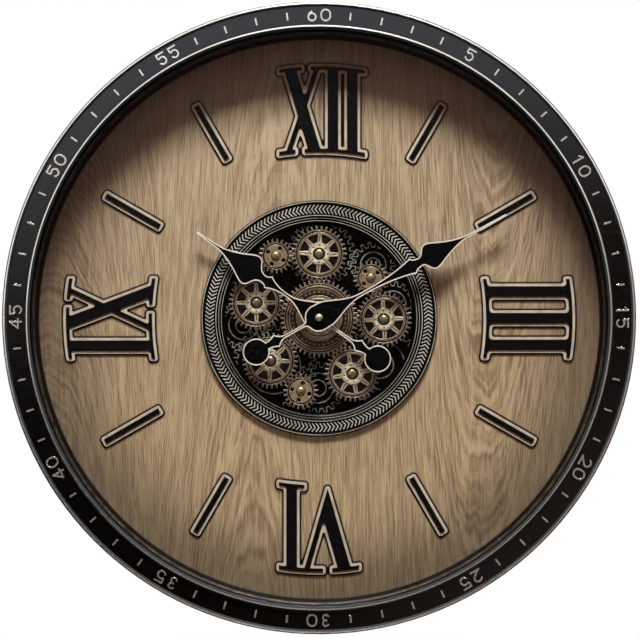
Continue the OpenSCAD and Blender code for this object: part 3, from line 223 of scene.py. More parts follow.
class Graph(Tree):
    """Node tree of one finish, on the piece's own coordinates."""

    MIX_VECTORS = (0, 4, 5)
    HOLLOW_SAMPLES = 6
    EDGE_SAMPLES = 4
    EDGE_RAMP: Ramp = (0.98, 0.82)
    BEAD_FOOT = 0.02 * MM
    BEAD_STEEPEST = 0.96

    def __init__(self, name: str) -> None:
        """Starts an empty material.

        Args:
            name: Name of the material.
        """
        self.material = bpy.data.materials.new(name)
        super().__init__(self.material)
        self.output = self.add("ShaderNodeOutputMaterial")
        self.place: Socket = self.add("ShaderNodeTexCoord").outputs["Object"]
        self.x, self.y, self.z = self.add("ShaderNodeSeparateXYZ", {0: self.place}).outputs
        self.level: Socket = self.math("MULTIPLY", self.y, -1.0)

    def join(self, *values: Value) -> Socket:
        """Joins three values, for x, y and z, to a vector."""
        return self.add("ShaderNodeCombineXYZ", dict(enumerate(values))).outputs[0]

    def length(self, first: Value, second: Value) -> Socket:
        """Adds the length of two steps at right angles to each other."""
        return self.math("SQRT", self.plus(self.times(first, first), self.times(second, second)))

    def radius(self, centre_x: float = 0.0, centre_z: float = 0.0) -> Socket:
        """Adds the distance from an axis that runs from the wall to the viewer.

        Args:
            centre_x: The axis's place to the right of the clock's.
            centre_z: The axis's place above the clock's.

        Returns:
            The socket that holds the distance.
        """
        return self.length(self.minus(self.x, centre_x), self.minus(self.z, centre_z))

    def between(self, value: Value, low: float, high: float, soft: float) -> Value:
        """Adds a window that is 1 between two values and 0 outside.

        Args:
            value: What is compared.
            low: Lower end of the window.
            high: Upper end of the window.
            soft: Width over which the window opens and closes.

        Returns:
            The socket that holds the window.
        """
        return self.times(self.rise(value, low - soft, low), self.rise(value, high + soft, high))

    def noise(
        self, grain: Stretch | float, detail: float = 3.0, rough: float = 0.5, place: Socket | None = None
    ) -> Socket:
        """Adds noise on the piece's own coordinates, or on others.

        Args:
            grain: Cycles per metre, along x, y and z or the same along all of them.
            detail: Number of finer layers.
            rough: Share of the finer layers.
            place: Coordinates to use in place of the piece's own.

        Returns:
            The socket that holds the noise, about 0.5 on average.
        """
        place = self.place if place is None else place
        scale = grain if isinstance(grain, tuple) else (grain,) * 3
        mapping = self.add("ShaderNodeMapping", {"Vector": place, "Scale": scale})
        inputs = {"Vector": mapping.outputs[0], "Scale": 1.0, "Detail": detail, "Roughness": rough}
        return self.add("ShaderNodeTexNoise", inputs).outputs["Fac"]

    def hollow(self, reach: float) -> Socket:
        """Adds how open a point lies within a reach, from 0 in a deep recess to 1 in the open."""
        node = self.add("ShaderNodeAmbientOcclusion", {"Distance": reach}, samples=self.HOLLOW_SAMPLES)
        return node.outputs["AO"]

    def soft_edge(self, width: float) -> Socket:
        """Adds a normal that rounds sharp edges over a width."""
        return self.add("ShaderNodeBevel", {"Radius": width}, samples=self.EDGE_SAMPLES).outputs[0]

    def edge(self, width: float) -> Socket:
        """Adds how close a point lies to a sharp edge.

        Args:
            width: Radius of the rounding in metres.

        Returns:
            The socket that goes from 0 on a face to 1 at an edge.
        """
        normals = {0: self.soft_edge(width), 1: self.add("ShaderNodeNewGeometry").outputs["Normal"]}
        product = self.add("ShaderNodeVectorMath", normals, operation="DOT_PRODUCT")
        return self.rise(product.outputs["Value"], *self.EDGE_RAMP)

    def bump(self, height: Value, depth: float, normal: Socket | None = None) -> Socket:
        """Adds a relief.

        Args:
            height: Height from 0 to 1.
            depth: Depth of the relief in metres.
            normal: Normal that the relief is laid on.

        Returns:
            The socket that holds the new normal.
        """
        inputs: Inputs = {"Distance": depth, "Height": height}
        if normal is not None:
            inputs["Normal"] = normal
        return self.add("ShaderNodeBump", inputs).outputs[0]

    def round_over(self, from_axis: Value, bead: "Bead") -> tuple[Value, Value]:
        """Adds where a point lies on a bead's curve.

        Args:
            from_axis: Distance from the clock's axis.
            bead: The bead.

        Returns:
            The place on the curve, from -1 inside to 1 outside, and 1 on the bead or 0 off it.
        """
        offset = self.math("DIVIDE", self.minus(from_axis, bead.radius), bead.tube)
        near = self.math("LESS_THAN", self.math("ABSOLUTE", offset), 1.0)
        above = self.math("GREATER_THAN", self.level, bead.middle + self.BEAD_FOOT)
        return offset, self.times(near, above)

    def bead_normal(self, from_axis: Value, turn: Value, within: Value, normal: Socket) -> Socket:
        """Adds the smooth normal of a bead, and keeps another one off the bead.

        Args:
            from_axis: Distance from the clock's axis.
            turn: Place on the bead's curve.
            within: 1 on the bead and 0 off it.
            normal: Normal off the bead.

        Returns:
            The socket that holds the normal.
        """
        lean = self.math("MINIMUM", self.math("MAXIMUM", turn, -self.BEAD_STEEPEST), self.BEAD_STEEPEST)
        front = self.math("SQRT", self.minus(1.0, self.times(lean, lean)))
        share = self.math("DIVIDE", lean, from_axis)
        curve = self.join(self.times(self.x, share), self.times(front, -1.0), self.times(self.z, share))
        inputs = dict(zip(self.MIX_VECTORS, (within, normal, curve)))
        return self.add("ShaderNodeMix", inputs, data_type="VECTOR").outputs[1]

    def surface(self, **inputs: object) -> bpy.types.Material:
        """Adds the surface shader and closes the tree.

        Args:
            **inputs: Values or sockets by the shader's socket names, with _ for a space.

        Returns:
            The finished material.
        """
        named = {key.replace("_", " "): value for key, value in inputs.items()}
        shader = self.add("ShaderNodeBsdfPrincipled", named)
        self.feed(self.output.inputs["Surface"], shader.outputs[0])
        return self.material


class Finish(ABC):
    """A procedural surface."""

    @abstractmethod
    def material(self) -> bpy.types.Material:
        """Builds the finish and returns its material."""


@dataclass(frozen=True)
class Crest:
    """Raised ring that metal is rubbed onto, between two radii and above a level."""

    inner: float
    outer: float
    low: float
    full: float


@dataclass(frozen=True)
class Bead:
    """Half-round ring with metal rubbed onto a part of its curve, from -1 inside to 1 outside."""

    radius: float
    tube: float
    middle: float
    rub_from: float
    rub_to: float


@dataclass(frozen=True)
class RubbedPaint(Finish):
    """Dark paint with a pale metal rubbed onto its crests and beads."""

    name: str
    paint: str
    rubbed: str
    crests: tuple[Crest, ...] = ()
    beads: tuple[Bead, ...] = ()
    worn: str = "#0e0f12"
    worn_ramp: Ramp = (0.35, 0.85)
    worn_most: float = 0.5
    tarnish: str = "#8f7c5c"
    tarnish_ramp: Ramp = (0.45, 0.7)
    metal: float = 0.6
    paint_gloss: float = 0.3
    bead_gloss: float = 0.5
    metal_gloss: float = 0.34
    gloss_drift: float = 0.08
    specular: float = 0.5
    tint: str = "#ffffff"
    wear: float = 0.35
    wear_ramp: Ramp = (0.62, 1.1)
    patch_wear: float = 0.7
    patches: float = 0.6
    patch_grain: float = 34.0
    grain: float = 260.0
    relief: float = 0.012 * MM
    edge_width: float = 0.3 * MM
    crest_soft: float = 0.05 * MM
    bead_soft: float = 0.15
    inset: float = 0.0

    def material(self) -> bpy.types.Material:
        """Builds the finish.

        Returns:
            The material.
        """
        g = Graph(self.name)
        cloud = g.noise(self.grain, 4.0, 0.65)
        patch = g.noise(self.patch_grain, 3.0, 0.6)
        from_axis = g.radius()
        raised: Value = 0.0
        on_bead: Value = 0.0
        normal = g.soft_edge(self.edge_width)
        for crest in self.crests:
            ring = g.between(from_axis, crest.inner, crest.outer, self.crest_soft)
            raised = g.largest(raised, g.times(ring, g.rise(g.level, crest.low, crest.full)))
        if self.inset:
            raised = g.times(raised, g.minus(1.0, g.edge(self.inset)))
        for bead in self.beads:
            turn, within = g.round_over(from_axis, bead)
            rubbed = g.between(turn, bead.rub_from, bead.rub_to, self.bead_soft)
            raised = g.largest(raised, g.times(within, rubbed))
            on_bead = g.largest(on_bead, within)
            normal = g.bead_normal(from_axis, turn, within, normal)
        brushed = g.rise(g.plus(cloud, g.times(patch, self.patch_wear)), *self.wear_ramp)
        share = g.times(raised, g.minus(1.0, g.times(brushed, self.wear)))
        aged = g.rise(cloud, *self.worn_ramp, 0.0, self.worn_most)
        paint = g.mix(aged, tone(self.paint), tone(self.worn))
        golden = g.times(g.rise(patch, *self.tarnish_ramp), self.patches)
        metal = g.mix(golden, tone(self.rubbed), tone(self.tarnish))
        satin = g.rise(on_bead, 0.0, 1.0, self.paint_gloss, self.bead_gloss)
        gloss = g.plus(satin, g.times(share, g.minus(self.metal_gloss, satin)))
        return g.surface(
            Base_Color=g.mix(share, paint, metal),
            Metallic=g.times(share, self.metal),
            Roughness=g.plus(gloss, g.times(g.minus(cloud, NOISE_MEAN), self.gloss_drift)),
            Specular_IOR_Level=self.specular,
            Specular_Tint=tone(self.tint),
            Normal=g.bump(cloud, self.relief, normal),
        )


@dataclass(frozen=True)
class OakVeneer(Finish):
    """Pale oak with upright grain, arched figure and fine pores. Painted shade darkens the board towards its
    rim, where the case wall shades it, and at the foot of every raised part; the lower half is tinted warmer
    and a little brighter, partly as painted bounce light.
    """

    name: str = "oak_veneer"
    pale: str = "#c7b18f"
    # Painted bounce light, in part: the lower half of the board is tinted warmer and a little brighter.
    warm: str = "#ccb38b"
    warm_ramp: Ramp = (0.08, -0.12)
    deep: str = "#866b4c"
    pore: str = "#644b34"
    pore_ramp: Ramp = (0.55, 0.68)
    pore_share: float = 0.45
    pore_depth: float = 0.6
    # Painted shade: the board darkens towards its rim, where the case wall shades it, browner at the top under
    # the case's cast shadow and greyer at the bottom.
    painted_rim_shade: str = "#6c4833"
    painted_low_rim_shade: str = "#69625b"
    painted_rim_shade_ramp: Ramp = (0.18, 0.262)
    painted_rim_shade_share: float = 0.72
    # Painted shade: a dark line on the wood at the foot of raised parts, from an ambient occlusion mask.
    joint: str = "#070403"
    painted_foot_shade_reach: float = 1.3 * MM
    painted_foot_shade_ramp: Ramp = (0.95, 0.72)
    painted_foot_shade_share: float = 0.9
    plank: float = 0.105
    plank_shift: float = 0.047
    drift: float = 0.05
    ripple: float = 0.009
    arch: float = 11.0
    lean: float = 1.1
    lean_from: float = 0.03
    ring: float = 0.019
    late_rise: Ramp = (0.0, 0.62)
    late_fall: Ramp = (1.0, 0.86)
    line: float = 0.0021
    line_foot: float = 0.45
    line_break: Ramp = (0.3, 0.6)
    drift_grain: Stretch = (5.0, 5.0, 2.2)
    ripple_grain: Stretch = (60.0, 60.0, 9.0)
    break_grain: Stretch = (150.0, 150.0, 18.0)
    contour_grain: Stretch = (660.0, 0.0, 18.0)
    fibre_grain: Stretch = (560.0, 560.0, 14.0)
    thread_grain: Stretch = (950.0, 950.0, 26.0)
    streak_grain: Stretch = (130.0, 130.0, 5.0)
    cloud_grain: Stretch = (9.0, 9.0, 3.0)
    pore_grain: Stretch = (800.0, 800.0, 60.0)
    base_shade: float = 0.42
    fibre_share: float = 0.5
    thread_share: float = 0.9
    contour_share: float = 1.6
    streak_share: float = 0.18
    late_share: float = 0.12
    growth_share: float = 0.26
    cloud_share: float = 0.26
    gloss: float = 0.5
    gloss_drift: float = 0.16
    relief: float = 0.1 * MM

    def figure(self, g: Graph) -> Value:
        """Adds the height of the growth rings, which arch over each plank and lean aside.

        Args:
            g: Tree of the finish.

        Returns:
            The socket that holds the height.
        """
        drift = g.minus(g.noise(self.drift_grain, 2.0), NOISE_MEAN)
        across = g.plus(g.x, g.times(drift, self.drift))
        aside = g.math("PINGPONG", g.plus(across, self.plank_shift), self.plank)
        ripple = g.times(g.noise(self.ripple_grain, 3.0), self.ripple)
        slope = g.times(g.minus(self.lean_from, g.x), self.lean)
        return g.plus(g.times(aside, aside, self.arch), g.times(g.z, slope), ripple)

    def shade(self, g: Graph, fibre: Socket) -> Value:
        """Adds how dark the bare wood is, from its growth rings and its fibres.

        Args:
            g: Tree of the finish.
            fibre: Noise of the fibres.

        Returns:
            The socket that goes from 0 in pale wood to 1 in deep wood.
        """
        figure = self.figure(g)
        turn = g.math("FRACT", g.math("DIVIDE", figure, self.ring))
        late = g.times(g.rise(turn, *self.late_rise), g.rise(turn, *self.late_fall))
        line = g.rise(g.math("PINGPONG", figure, self.line), self.line, self.line * self.line_foot)
        broken = g.rise(g.noise(self.break_grain, 2.0), *self.line_break)
        parts = (
            (fibre, self.fibre_share),
            (g.noise(self.thread_grain, 1.0), self.thread_share),
            (g.noise(self.contour_grain, 1.5, 0.55, g.join(figure, g.y, g.z)), self.contour_share),
            (g.noise(self.streak_grain, 3.0, 0.55), self.streak_share),
            (late, self.late_share),
            (g.times(line, broken), self.growth_share),
            (g.noise(self.cloud_grain, 2.0), self.cloud_share),
        )
        return g.plus(self.base_shade, *(g.times(g.minus(part, NOISE_MEAN), share) for part, share in parts))

    def material(self) -> bpy.types.Material:
        """Builds the finish.

        Returns:
            The material.
        """
        g = Graph(self.name)
        fibre = g.noise(self.fibre_grain, 2.0, 0.6)
        pores = g.rise(g.noise(self.pore_grain, 2.0, 0.6), *self.pore_ramp)
        # Painted bounce light, in part: warmer and a little brighter towards the bottom.
        lower = g.rise(g.z, *self.warm_ramp)
        pale = g.mix(lower, tone(self.pale), tone(self.warm))
        wood = g.mix(g.rise(self.shade(g, fibre), 0.0, 1.0), pale, tone(self.deep))
        wood = g.mix(g.times(pores, self.pore_share), wood, tone(self.pore))
        # Painted shade towards the rim of the board, where the case wall shades it.
        rim_shaded = g.rise(g.radius(), *self.painted_rim_shade_ramp)
        painted_rim_shade = g.mix(lower, tone(self.painted_rim_shade), tone(self.painted_low_rim_shade))
        wood = g.mix(g.times(rim_shaded, self.painted_rim_shade_share), wood, painted_rim_shade, Blend.MULTIPLY)
        # Painted shade at the foot of the signs, the rope ring and the case wall, from an ambient occlusion
        # mask.
        foot_shaded = g.rise(g.hollow(self.painted_foot_shade_reach), *self.painted_foot_shade_ramp, 0.0, self.painted_foot_shade_share)
        return g.surface(
            Base_Color=g.mix(foot_shaded, wood, tone(self.joint)),
            Roughness=g.plus(g.times(fibre, self.gloss_drift), self.gloss),
            Normal=g.bump(g.minus(fibre, g.times(pores, self.pore_depth)), self.relief),
        )


@dataclass(frozen=True)
class SteppedEnamel(Finish):
    """Sign in three steps: a dark line, a pale band and a black core."""

    name: str = "stepped_enamel"
    line: str = "#070403"
    band: str = "#d6c8b3"
    band_worn: str = "#b9a995"
    worn_ramp: Ramp = (0.38, 0.72)
    core: str = "#030202"
    band_level: float = 36.9 * MM
    core_level: float = 37.5 * MM
    soft: float = 0.02 * MM
    inked: float = 0.36 * MM
    ink_share: float = 0.95
    cloud_grain: Stretch = (140.0, 140.0, 60.0)
    fine_grain: float = 900.0
    gloss: float = 0.32
    gloss_drift: float = 0.2
    specular: float = 0.08
    relief: float = 0.01 * MM
    edge_width: float = 0.3 * MM

    def material(self) -> bpy.types.Material:
        """Builds the finish.

        Returns:
            The material.
        """
        g = Graph(self.name)
        cloud = g.noise(self.cloud_grain, 4.0, 0.6)
        fine = g.noise(self.fine_grain, 2.0)
        on_band = g.rise(g.level, self.band_level - self.soft, self.band_level + self.soft)
        on_core = g.rise(g.level, self.core_level - self.soft, self.core_level + self.soft)
        band = g.mix(g.rise(cloud, *self.worn_ramp), tone(self.band), tone(self.band_worn))
        band = g.mix(g.times(g.edge(self.inked), self.ink_share), band, tone(self.line))
        lower = g.mix(on_band, tone(self.line), band)
        return g.surface(
            Base_Color=g.mix(on_core, lower, tone(self.core)),
            Roughness=g.plus(g.times(cloud, self.gloss_drift), self.gloss),
            Specular_IOR_Level=self.specular,
            Normal=g.bump(fine, self.relief, g.soft_edge(self.edge_width)),
        )


@dataclass(frozen=True)
class CastBronze(Finish):
    """Cast gear, pale on its hub and rim, brown on its teeth and dark in its recesses, with sharp edges paled
    as rubbed wear and painted highlight.
    """

    name: str
    centre: Spot
    root: float
    hub_out: float
    rim_in: float
    hub: str = "#eadcc0"
    spoke: str = "#c4b291"
    rim: str = "#80705d"
    teeth: str = "#706152"
    deep: str = "#140b06"
    patina: str = "#5e4838"
    patina_ramp: Ramp = (0.42, 0.75)
    patina_most: float = 0.75
    # Sharp edges are paled towards this colour: rubbed wear and a painted highlight.
    rubbed: str = "#f0e4c8"
    edge_width: float = 0.35 * MM
    edge_rub_and_highlight_share: float = 0.85
    floor_level: float = 36.65 * MM
    top_level: float = 37.3 * MM
    soft: float = 0.3 * MM
    dark_bands: Rings = ()
    band_soft: float = 0.1 * MM
    band_share: float = 0.85
    dots: Spot = (0.0, 0.0)
    dot_soft: float = 0.05 * MM
    open_reach: float = 2.0 * MM
    open_ramp: Ramp = (0.3, 0.9)
    cloud_grain: float = 190.0
    fine_grain: float = 1500.0
    metal: float = 0.4
    gloss: float = 0.28
    gloss_drift: float = 0.25
    specular: float = 0.2
    relief: float = 0.02 * MM

    def material(self) -> bpy.types.Material:
        """Builds the finish.

        Returns:
            The material.
        """
        g = Graph(self.name)
        from_axis = g.radius(*self.centre)
        cloud = g.noise(self.cloud_grain, 4.0, 0.65)
        fine = g.noise(self.fine_grain, 2.0)
        off_hub = g.rise(from_axis, self.hub_out, self.hub_out + self.soft)
        cast = g.mix(off_hub, tone(self.hub), tone(self.spoke))
        cast = g.mix(g.rise(from_axis, self.rim_in - self.soft, self.rim_in), cast, tone(self.rim))
        cast = g.mix(g.rise(from_axis, self.root - self.soft, self.root + self.soft), cast, tone(self.teeth))
        cast = g.mix(g.rise(cloud, *self.patina_ramp, 0.0, self.patina_most), cast, tone(self.patina))
        # Rubbed wear and painted highlight on every sharp edge.
        cast = g.mix(g.times(g.edge(self.edge_width), self.edge_rub_and_highlight_share), cast, tone(self.rubbed))
        for inner, outer in self.dark_bands:
            band = g.between(from_axis, inner, outer, self.band_soft)
            cast = g.mix(g.times(band, self.band_share), cast, tone(self.deep))
        top = g.rise(g.level, self.floor_level, self.top_level)
        low = g.mix(g.between(from_axis, *self.dots, self.dot_soft), tone(self.deep), tone(self.hub))
        open_share = g.rise(g.hollow(self.open_reach), *self.open_ramp)
        return g.surface(
            Base_Color=g.mix(g.times(top, open_share), low, cast),
            Metallic=g.times(top, self.metal),
            Roughness=g.plus(g.times(cloud, self.gloss_drift), self.gloss),
            Specular_IOR_Level=self.specular,
            Normal=g.bump(fine, self.relief, g.soft_edge(self.edge_width)),
        )


@dataclass(frozen=True)
class TurnedMetal(Finish):
    """Plain machined or polished metal with fine marks."""

    name: str
    colour: str
    shade: str
    gloss: float = 0.28
    grain: float = 420.0
    shade_ramp: Ramp = (0.3, 0.75)
    mark_grain: Stretch = (2400.0, 300.0, 300.0)
    gloss_drift: float = 0.18
    gloss_less: float = 0.06
    metal: float = 0.85
    relief: float = 0.01 * MM
    edge_width: float = 0.25 * MM

    def material(self) -> bpy.types.Material:
        """Builds the finish.

        Returns:
            The material.
        """
        g = Graph(self.name)
        cloud = g.noise(self.grain, 3.0, 0.6)
        marks = g.noise(self.mark_grain, 2.0)
        return g.surface(
            Base_Color=g.mix(g.rise(cloud, *self.shade_ramp), tone(self.colour), tone(self.shade)),
            Metallic=self.metal,
            Roughness=g.plus(g.times(marks, self.gloss_drift), self.gloss - self.gloss_less),
            Normal=g.bump(marks, self.relief, g.soft_edge(self.edge_width)),
        )


@dataclass(frozen=True)
class Moulded(Finish):
    """Moulded plastic, rubber or paper wrap with a fine grain."""

    name: str
    colour: str
    worn: str
    gloss: float = 0.5
    grain: float = 1400.0
    patch_grain: float = 70.0
    patch_ramp: Ramp = (0.35, 0.8)
    patch_most: float = 0.3
    rub_width: float = 0.4 * MM
    rub_share: float = 0.5
    gloss_drift: float = 0.2
    gloss_less: float = 0.1
    relief: float = 0.03 * MM
    edge_width: float = 0.3 * MM

    def material(self) -> bpy.types.Material:
        """Builds the finish.

        Returns:
            The material.
        """
        g = Graph(self.name)
        grain = g.noise(self.grain, 2.0)
        patch = g.rise(g.noise(self.patch_grain, 3.0, 0.6), *self.patch_ramp, 0.0, self.patch_most)
        shade = g.plus(patch, g.times(g.edge(self.rub_width), self.rub_share))
        return g.surface(
            Base_Color=g.mix(shade, tone(self.colour), tone(self.worn)),
            Roughness=g.plus(g.times(grain, self.gloss_drift), self.gloss - self.gloss_less),
            Normal=g.bump(grain, self.relief, g.soft_edge(self.edge_width)),
        )


@dataclass(frozen=True)
class ClearPane(Finish):
    """Clear coated glass that lets the lamps' light through."""

    name: str = "clear_pane"
    tint: str = "#fbfcfc"
    gloss: float = 0.01
    bend: float = 1.07

    def material(self) -> bpy.types.Material:
        """Builds the finish.

        Returns:
            The material.
        """
        g = Graph(self.name)
        glass = g.add("ShaderNodeBsdfPrincipled", {
            "Base Color": tone(self.tint), "Roughness": self.gloss, "IOR": self.bend,
            "Transmission Weight": 1.0,
        })
        path = g.add("ShaderNodeLightPath").outputs
        lit = g.largest(path["Is Shadow Ray"], path["Is Diffuse Ray"])
        clear = g.add("ShaderNodeBsdfTransparent")
        shader = g.add("ShaderNodeMixShader", {0: lit, 1: glass.outputs[0], 2: clear.outputs[0]})
        g.feed(g.output.inputs["Surface"], shader.outputs[0])
        return g.material


@dataclass(frozen=True)
class SteppedWall(Finish):
    """Black wall with a narrow rubbed ledge."""

    step_in: float
    step_out: float
    name: str = "wall_paint"
    paint: str = "#050404"
    rubbed: str = "#544a3c"
    step_soft: float = 0.2 * MM
    rub_ramp: Ramp = (0.3, 0.65)
    rub_least: float = 0.1
    rub_most: float = 0.6
    grain: float = 160.0
    metal: float = 0.4
    gloss: float = 0.35
    gloss_drift: float = 0.2
    specular: float = 0.08
    relief: float = 0.01 * MM
    edge_width: float = 0.3 * MM

    def material(self) -> bpy.types.Material:
        """Builds the finish.

        Returns:
            The material.
        """
        g = Graph(self.name)
        cloud = g.noise(self.grain, 4.0, 0.6)
        ledge = g.between(g.radius(), self.step_in, self.step_out, self.step_soft)
        share = g.times(ledge, g.rise(cloud, *self.rub_ramp, self.rub_least, self.rub_most))
        return g.surface(
            Base_Color=g.mix(share, tone(self.paint), tone(self.rubbed)),
            Metallic=g.times(share, self.metal),
            Roughness=g.plus(g.times(cloud, self.gloss_drift), self.gloss),
            Specular_IOR_Level=self.specular,
            Normal=g.bump(cloud, self.relief, g.soft_edge(self.edge_width)),
        )


def dress(finish: Finish, *nodes: str) -> None:
    """Gives nodes of the frame a finish.

    Args:
        finish: The finish.
        *nodes: Names of the nodes.
    """
    material = finish.material()
    for name in nodes:
        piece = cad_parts[name]
        if not piece.material_slots:
            piece.data.materials.append(material)
        for slot in piece.material_slots:
            slot.material = material
        log.info("%s gets %s", name, material.name)


@dataclass(frozen=True)
class Turning:
    """Round piece drawn up ring by ring about an axis from the wall to the viewer."""

    name: str
    axis: Spot
    rings: Rings
    sides: int = 48
    smooth_below: float = math.radians(40)

    def build(self, material: bpy.types.Material) -> bpy.types.Object:
        """Models the piece from a first ring that is drawn out to the last one, with both ends closed.

        Args:
            material: Its finish.

        Returns:
            The new object, at the origin with its place in its mesh.
        """
        stay = {"value": (0.0, 0.0, 0.0)}
        bpy.ops.object.select_all(action="DESELECT")
        radius, level = self.rings[0]
        bpy.ops.mesh.primitive_circle_add(
            vertices=self.sides, radius=radius, location=(self.axis[0], -level, self.axis[1]),
            rotation=(math.pi / 2, 0.0, 0.0),
        )
        piece = bpy.context.object
        piece.name = self.name
        bpy.ops.object.transform_apply(location=True, rotation=True, scale=True)
        bpy.ops.object.mode_set(mode="EDIT")
        bpy.ops.mesh.select_all(action="SELECT")
        bpy.ops.mesh.extrude_edges_move(TRANSFORM_OT_translate=stay)
        for (last_r, last_level), (next_r, next_level) in zip(self.rings, self.rings[1:]):
            share = next_r / last_r
            bpy.ops.transform.translate(value=(0.0, last_level - next_level, 0.0))
            bpy.ops.transform.resize(value=(share, 1.0, share))
            if (next_r, next_level) != self.rings[-1]:
                bpy.ops.mesh.extrude_edges_move(TRANSFORM_OT_translate=stay)
        bpy.ops.mesh.select_all(action="DESELECT")
        bpy.ops.mesh.select_non_manifold()
        bpy.ops.mesh.fill_holes(sides=0)
        bpy.ops.mesh.select_all(action="SELECT")
        bpy.ops.mesh.normals_make_consistent(inside=False)
        bpy.ops.object.mode_set(mode="OBJECT")
        bpy.ops.object.shade_smooth_by_angle(angle=self.smooth_below)
        piece.data.materials.append(material)
        log.info("%s turned in %d rings", self.name, len(self.rings))
        return piece


def place_copy(source: bpy.types.Object, name: str, shift: Vector) -> bpy.types.Object:
    """Copies a piece with its own mesh and moves the copy.

    Args:
        source: The piece to copy.
        name: Name of the copy.
        shift: How far the copy stands from the source, in metres.

    Returns:
        The copy, at the origin with its place in its mesh.
    """
    bpy.ops.object.select_all(action="DESELECT")
    source.select_set(True)
    bpy.context.view_layer.objects.active = source
    bpy.ops.object.duplicate(linked=False)
    copy = bpy.context.object
    copy.name = name
    bpy.ops.transform.translate(value=shift)
    bpy.ops.object.transform_apply(location=True, rotation=False, scale=False)
    return copy


@dataclass
class Case:
    """Bezel, band, stepped wall, glass and hanger."""

    track_level: float = 60.4 * MM
    track_in: float = 279.0 * MM
    track_out: float = 295.2 * MM
    figure_rise: float = 0.8 * MM
    figure_foot: float = 0.5 * MM
    figure_edge: float = 0.2 * MM
    outer_bead: Spot = (297.75 * MM, 2.1 * MM)
    outer_rub: Ramp = (0.02, 0.45)
    inner_bead: Spot = (276.25 * MM, 2.3 * MM)
    inner_rub: Ramp = (0.06, 0.38)
    step_in: float = 269.9 * MM
    step_out: float = 272.0 * MM

    def dress(self) -> None:
        """Gives the case its finishes."""
        figures = self.track_level + self.figure_rise
        track = Crest(self.track_in, self.track_out, figures - self.figure_foot, figures - self.figure_edge)
        beads = (
            Bead(*self.outer_bead, self.track_level, *self.outer_rub),
            Bead(*self.inner_bead, self.track_level, *self.inner_rub),
        )
        dress(RubbedPaint(
            "bezel_paint", paint="#060403", rubbed="#faf6ee", crests=(track,), beads=beads, worn="#0b0807",
            metal=0.97, paint_gloss=0.08, bead_gloss=0.85, metal_gloss=0.14, specular=0.7, tint="#eef6ff",
            wear=0.18, patches=0.18, edge_width=0.15 * MM,
        ), "bezel")
        dress(RubbedPaint("band_paint", paint="#0b0b0d", rubbed="#8d7c60", paint_gloss=0.45), "case_band")
        dress(SteppedWall(self.step_in, self.step_out), "dial_spacer")
        dress(ClearPane(), "glass")
        dress(Moulded("gasket_rubber", colour="#141414", worn="#2a2a2a", gloss=0.7), "glass_gasket")
        dress(TurnedMetal("hanger_steel", colour="#9a9da0", shade="#6f7276", gloss=0.4), "hanger_plate")


@dataclass
class Dial:
    """Wood board with its numerals, batons and brackets."""

    signs: tuple[str, ...] = ("numeral_xii", "numeral_iii", "numeral_vi", "numeral_ix", "hour_batons")
    fixings: tuple[str, ...] = ("dial_brackets", "bracket_screws")

    def dress(self) -> None:
        """Gives the dial its finishes."""
        dress(OakVeneer(), "dial_board")
        dress(SteppedEnamel(), *self.signs)
        dress(TurnedMetal("bracket_steel", colour="#b4b7ba", shade="#84878b", gloss=0.36), *self.fixings)


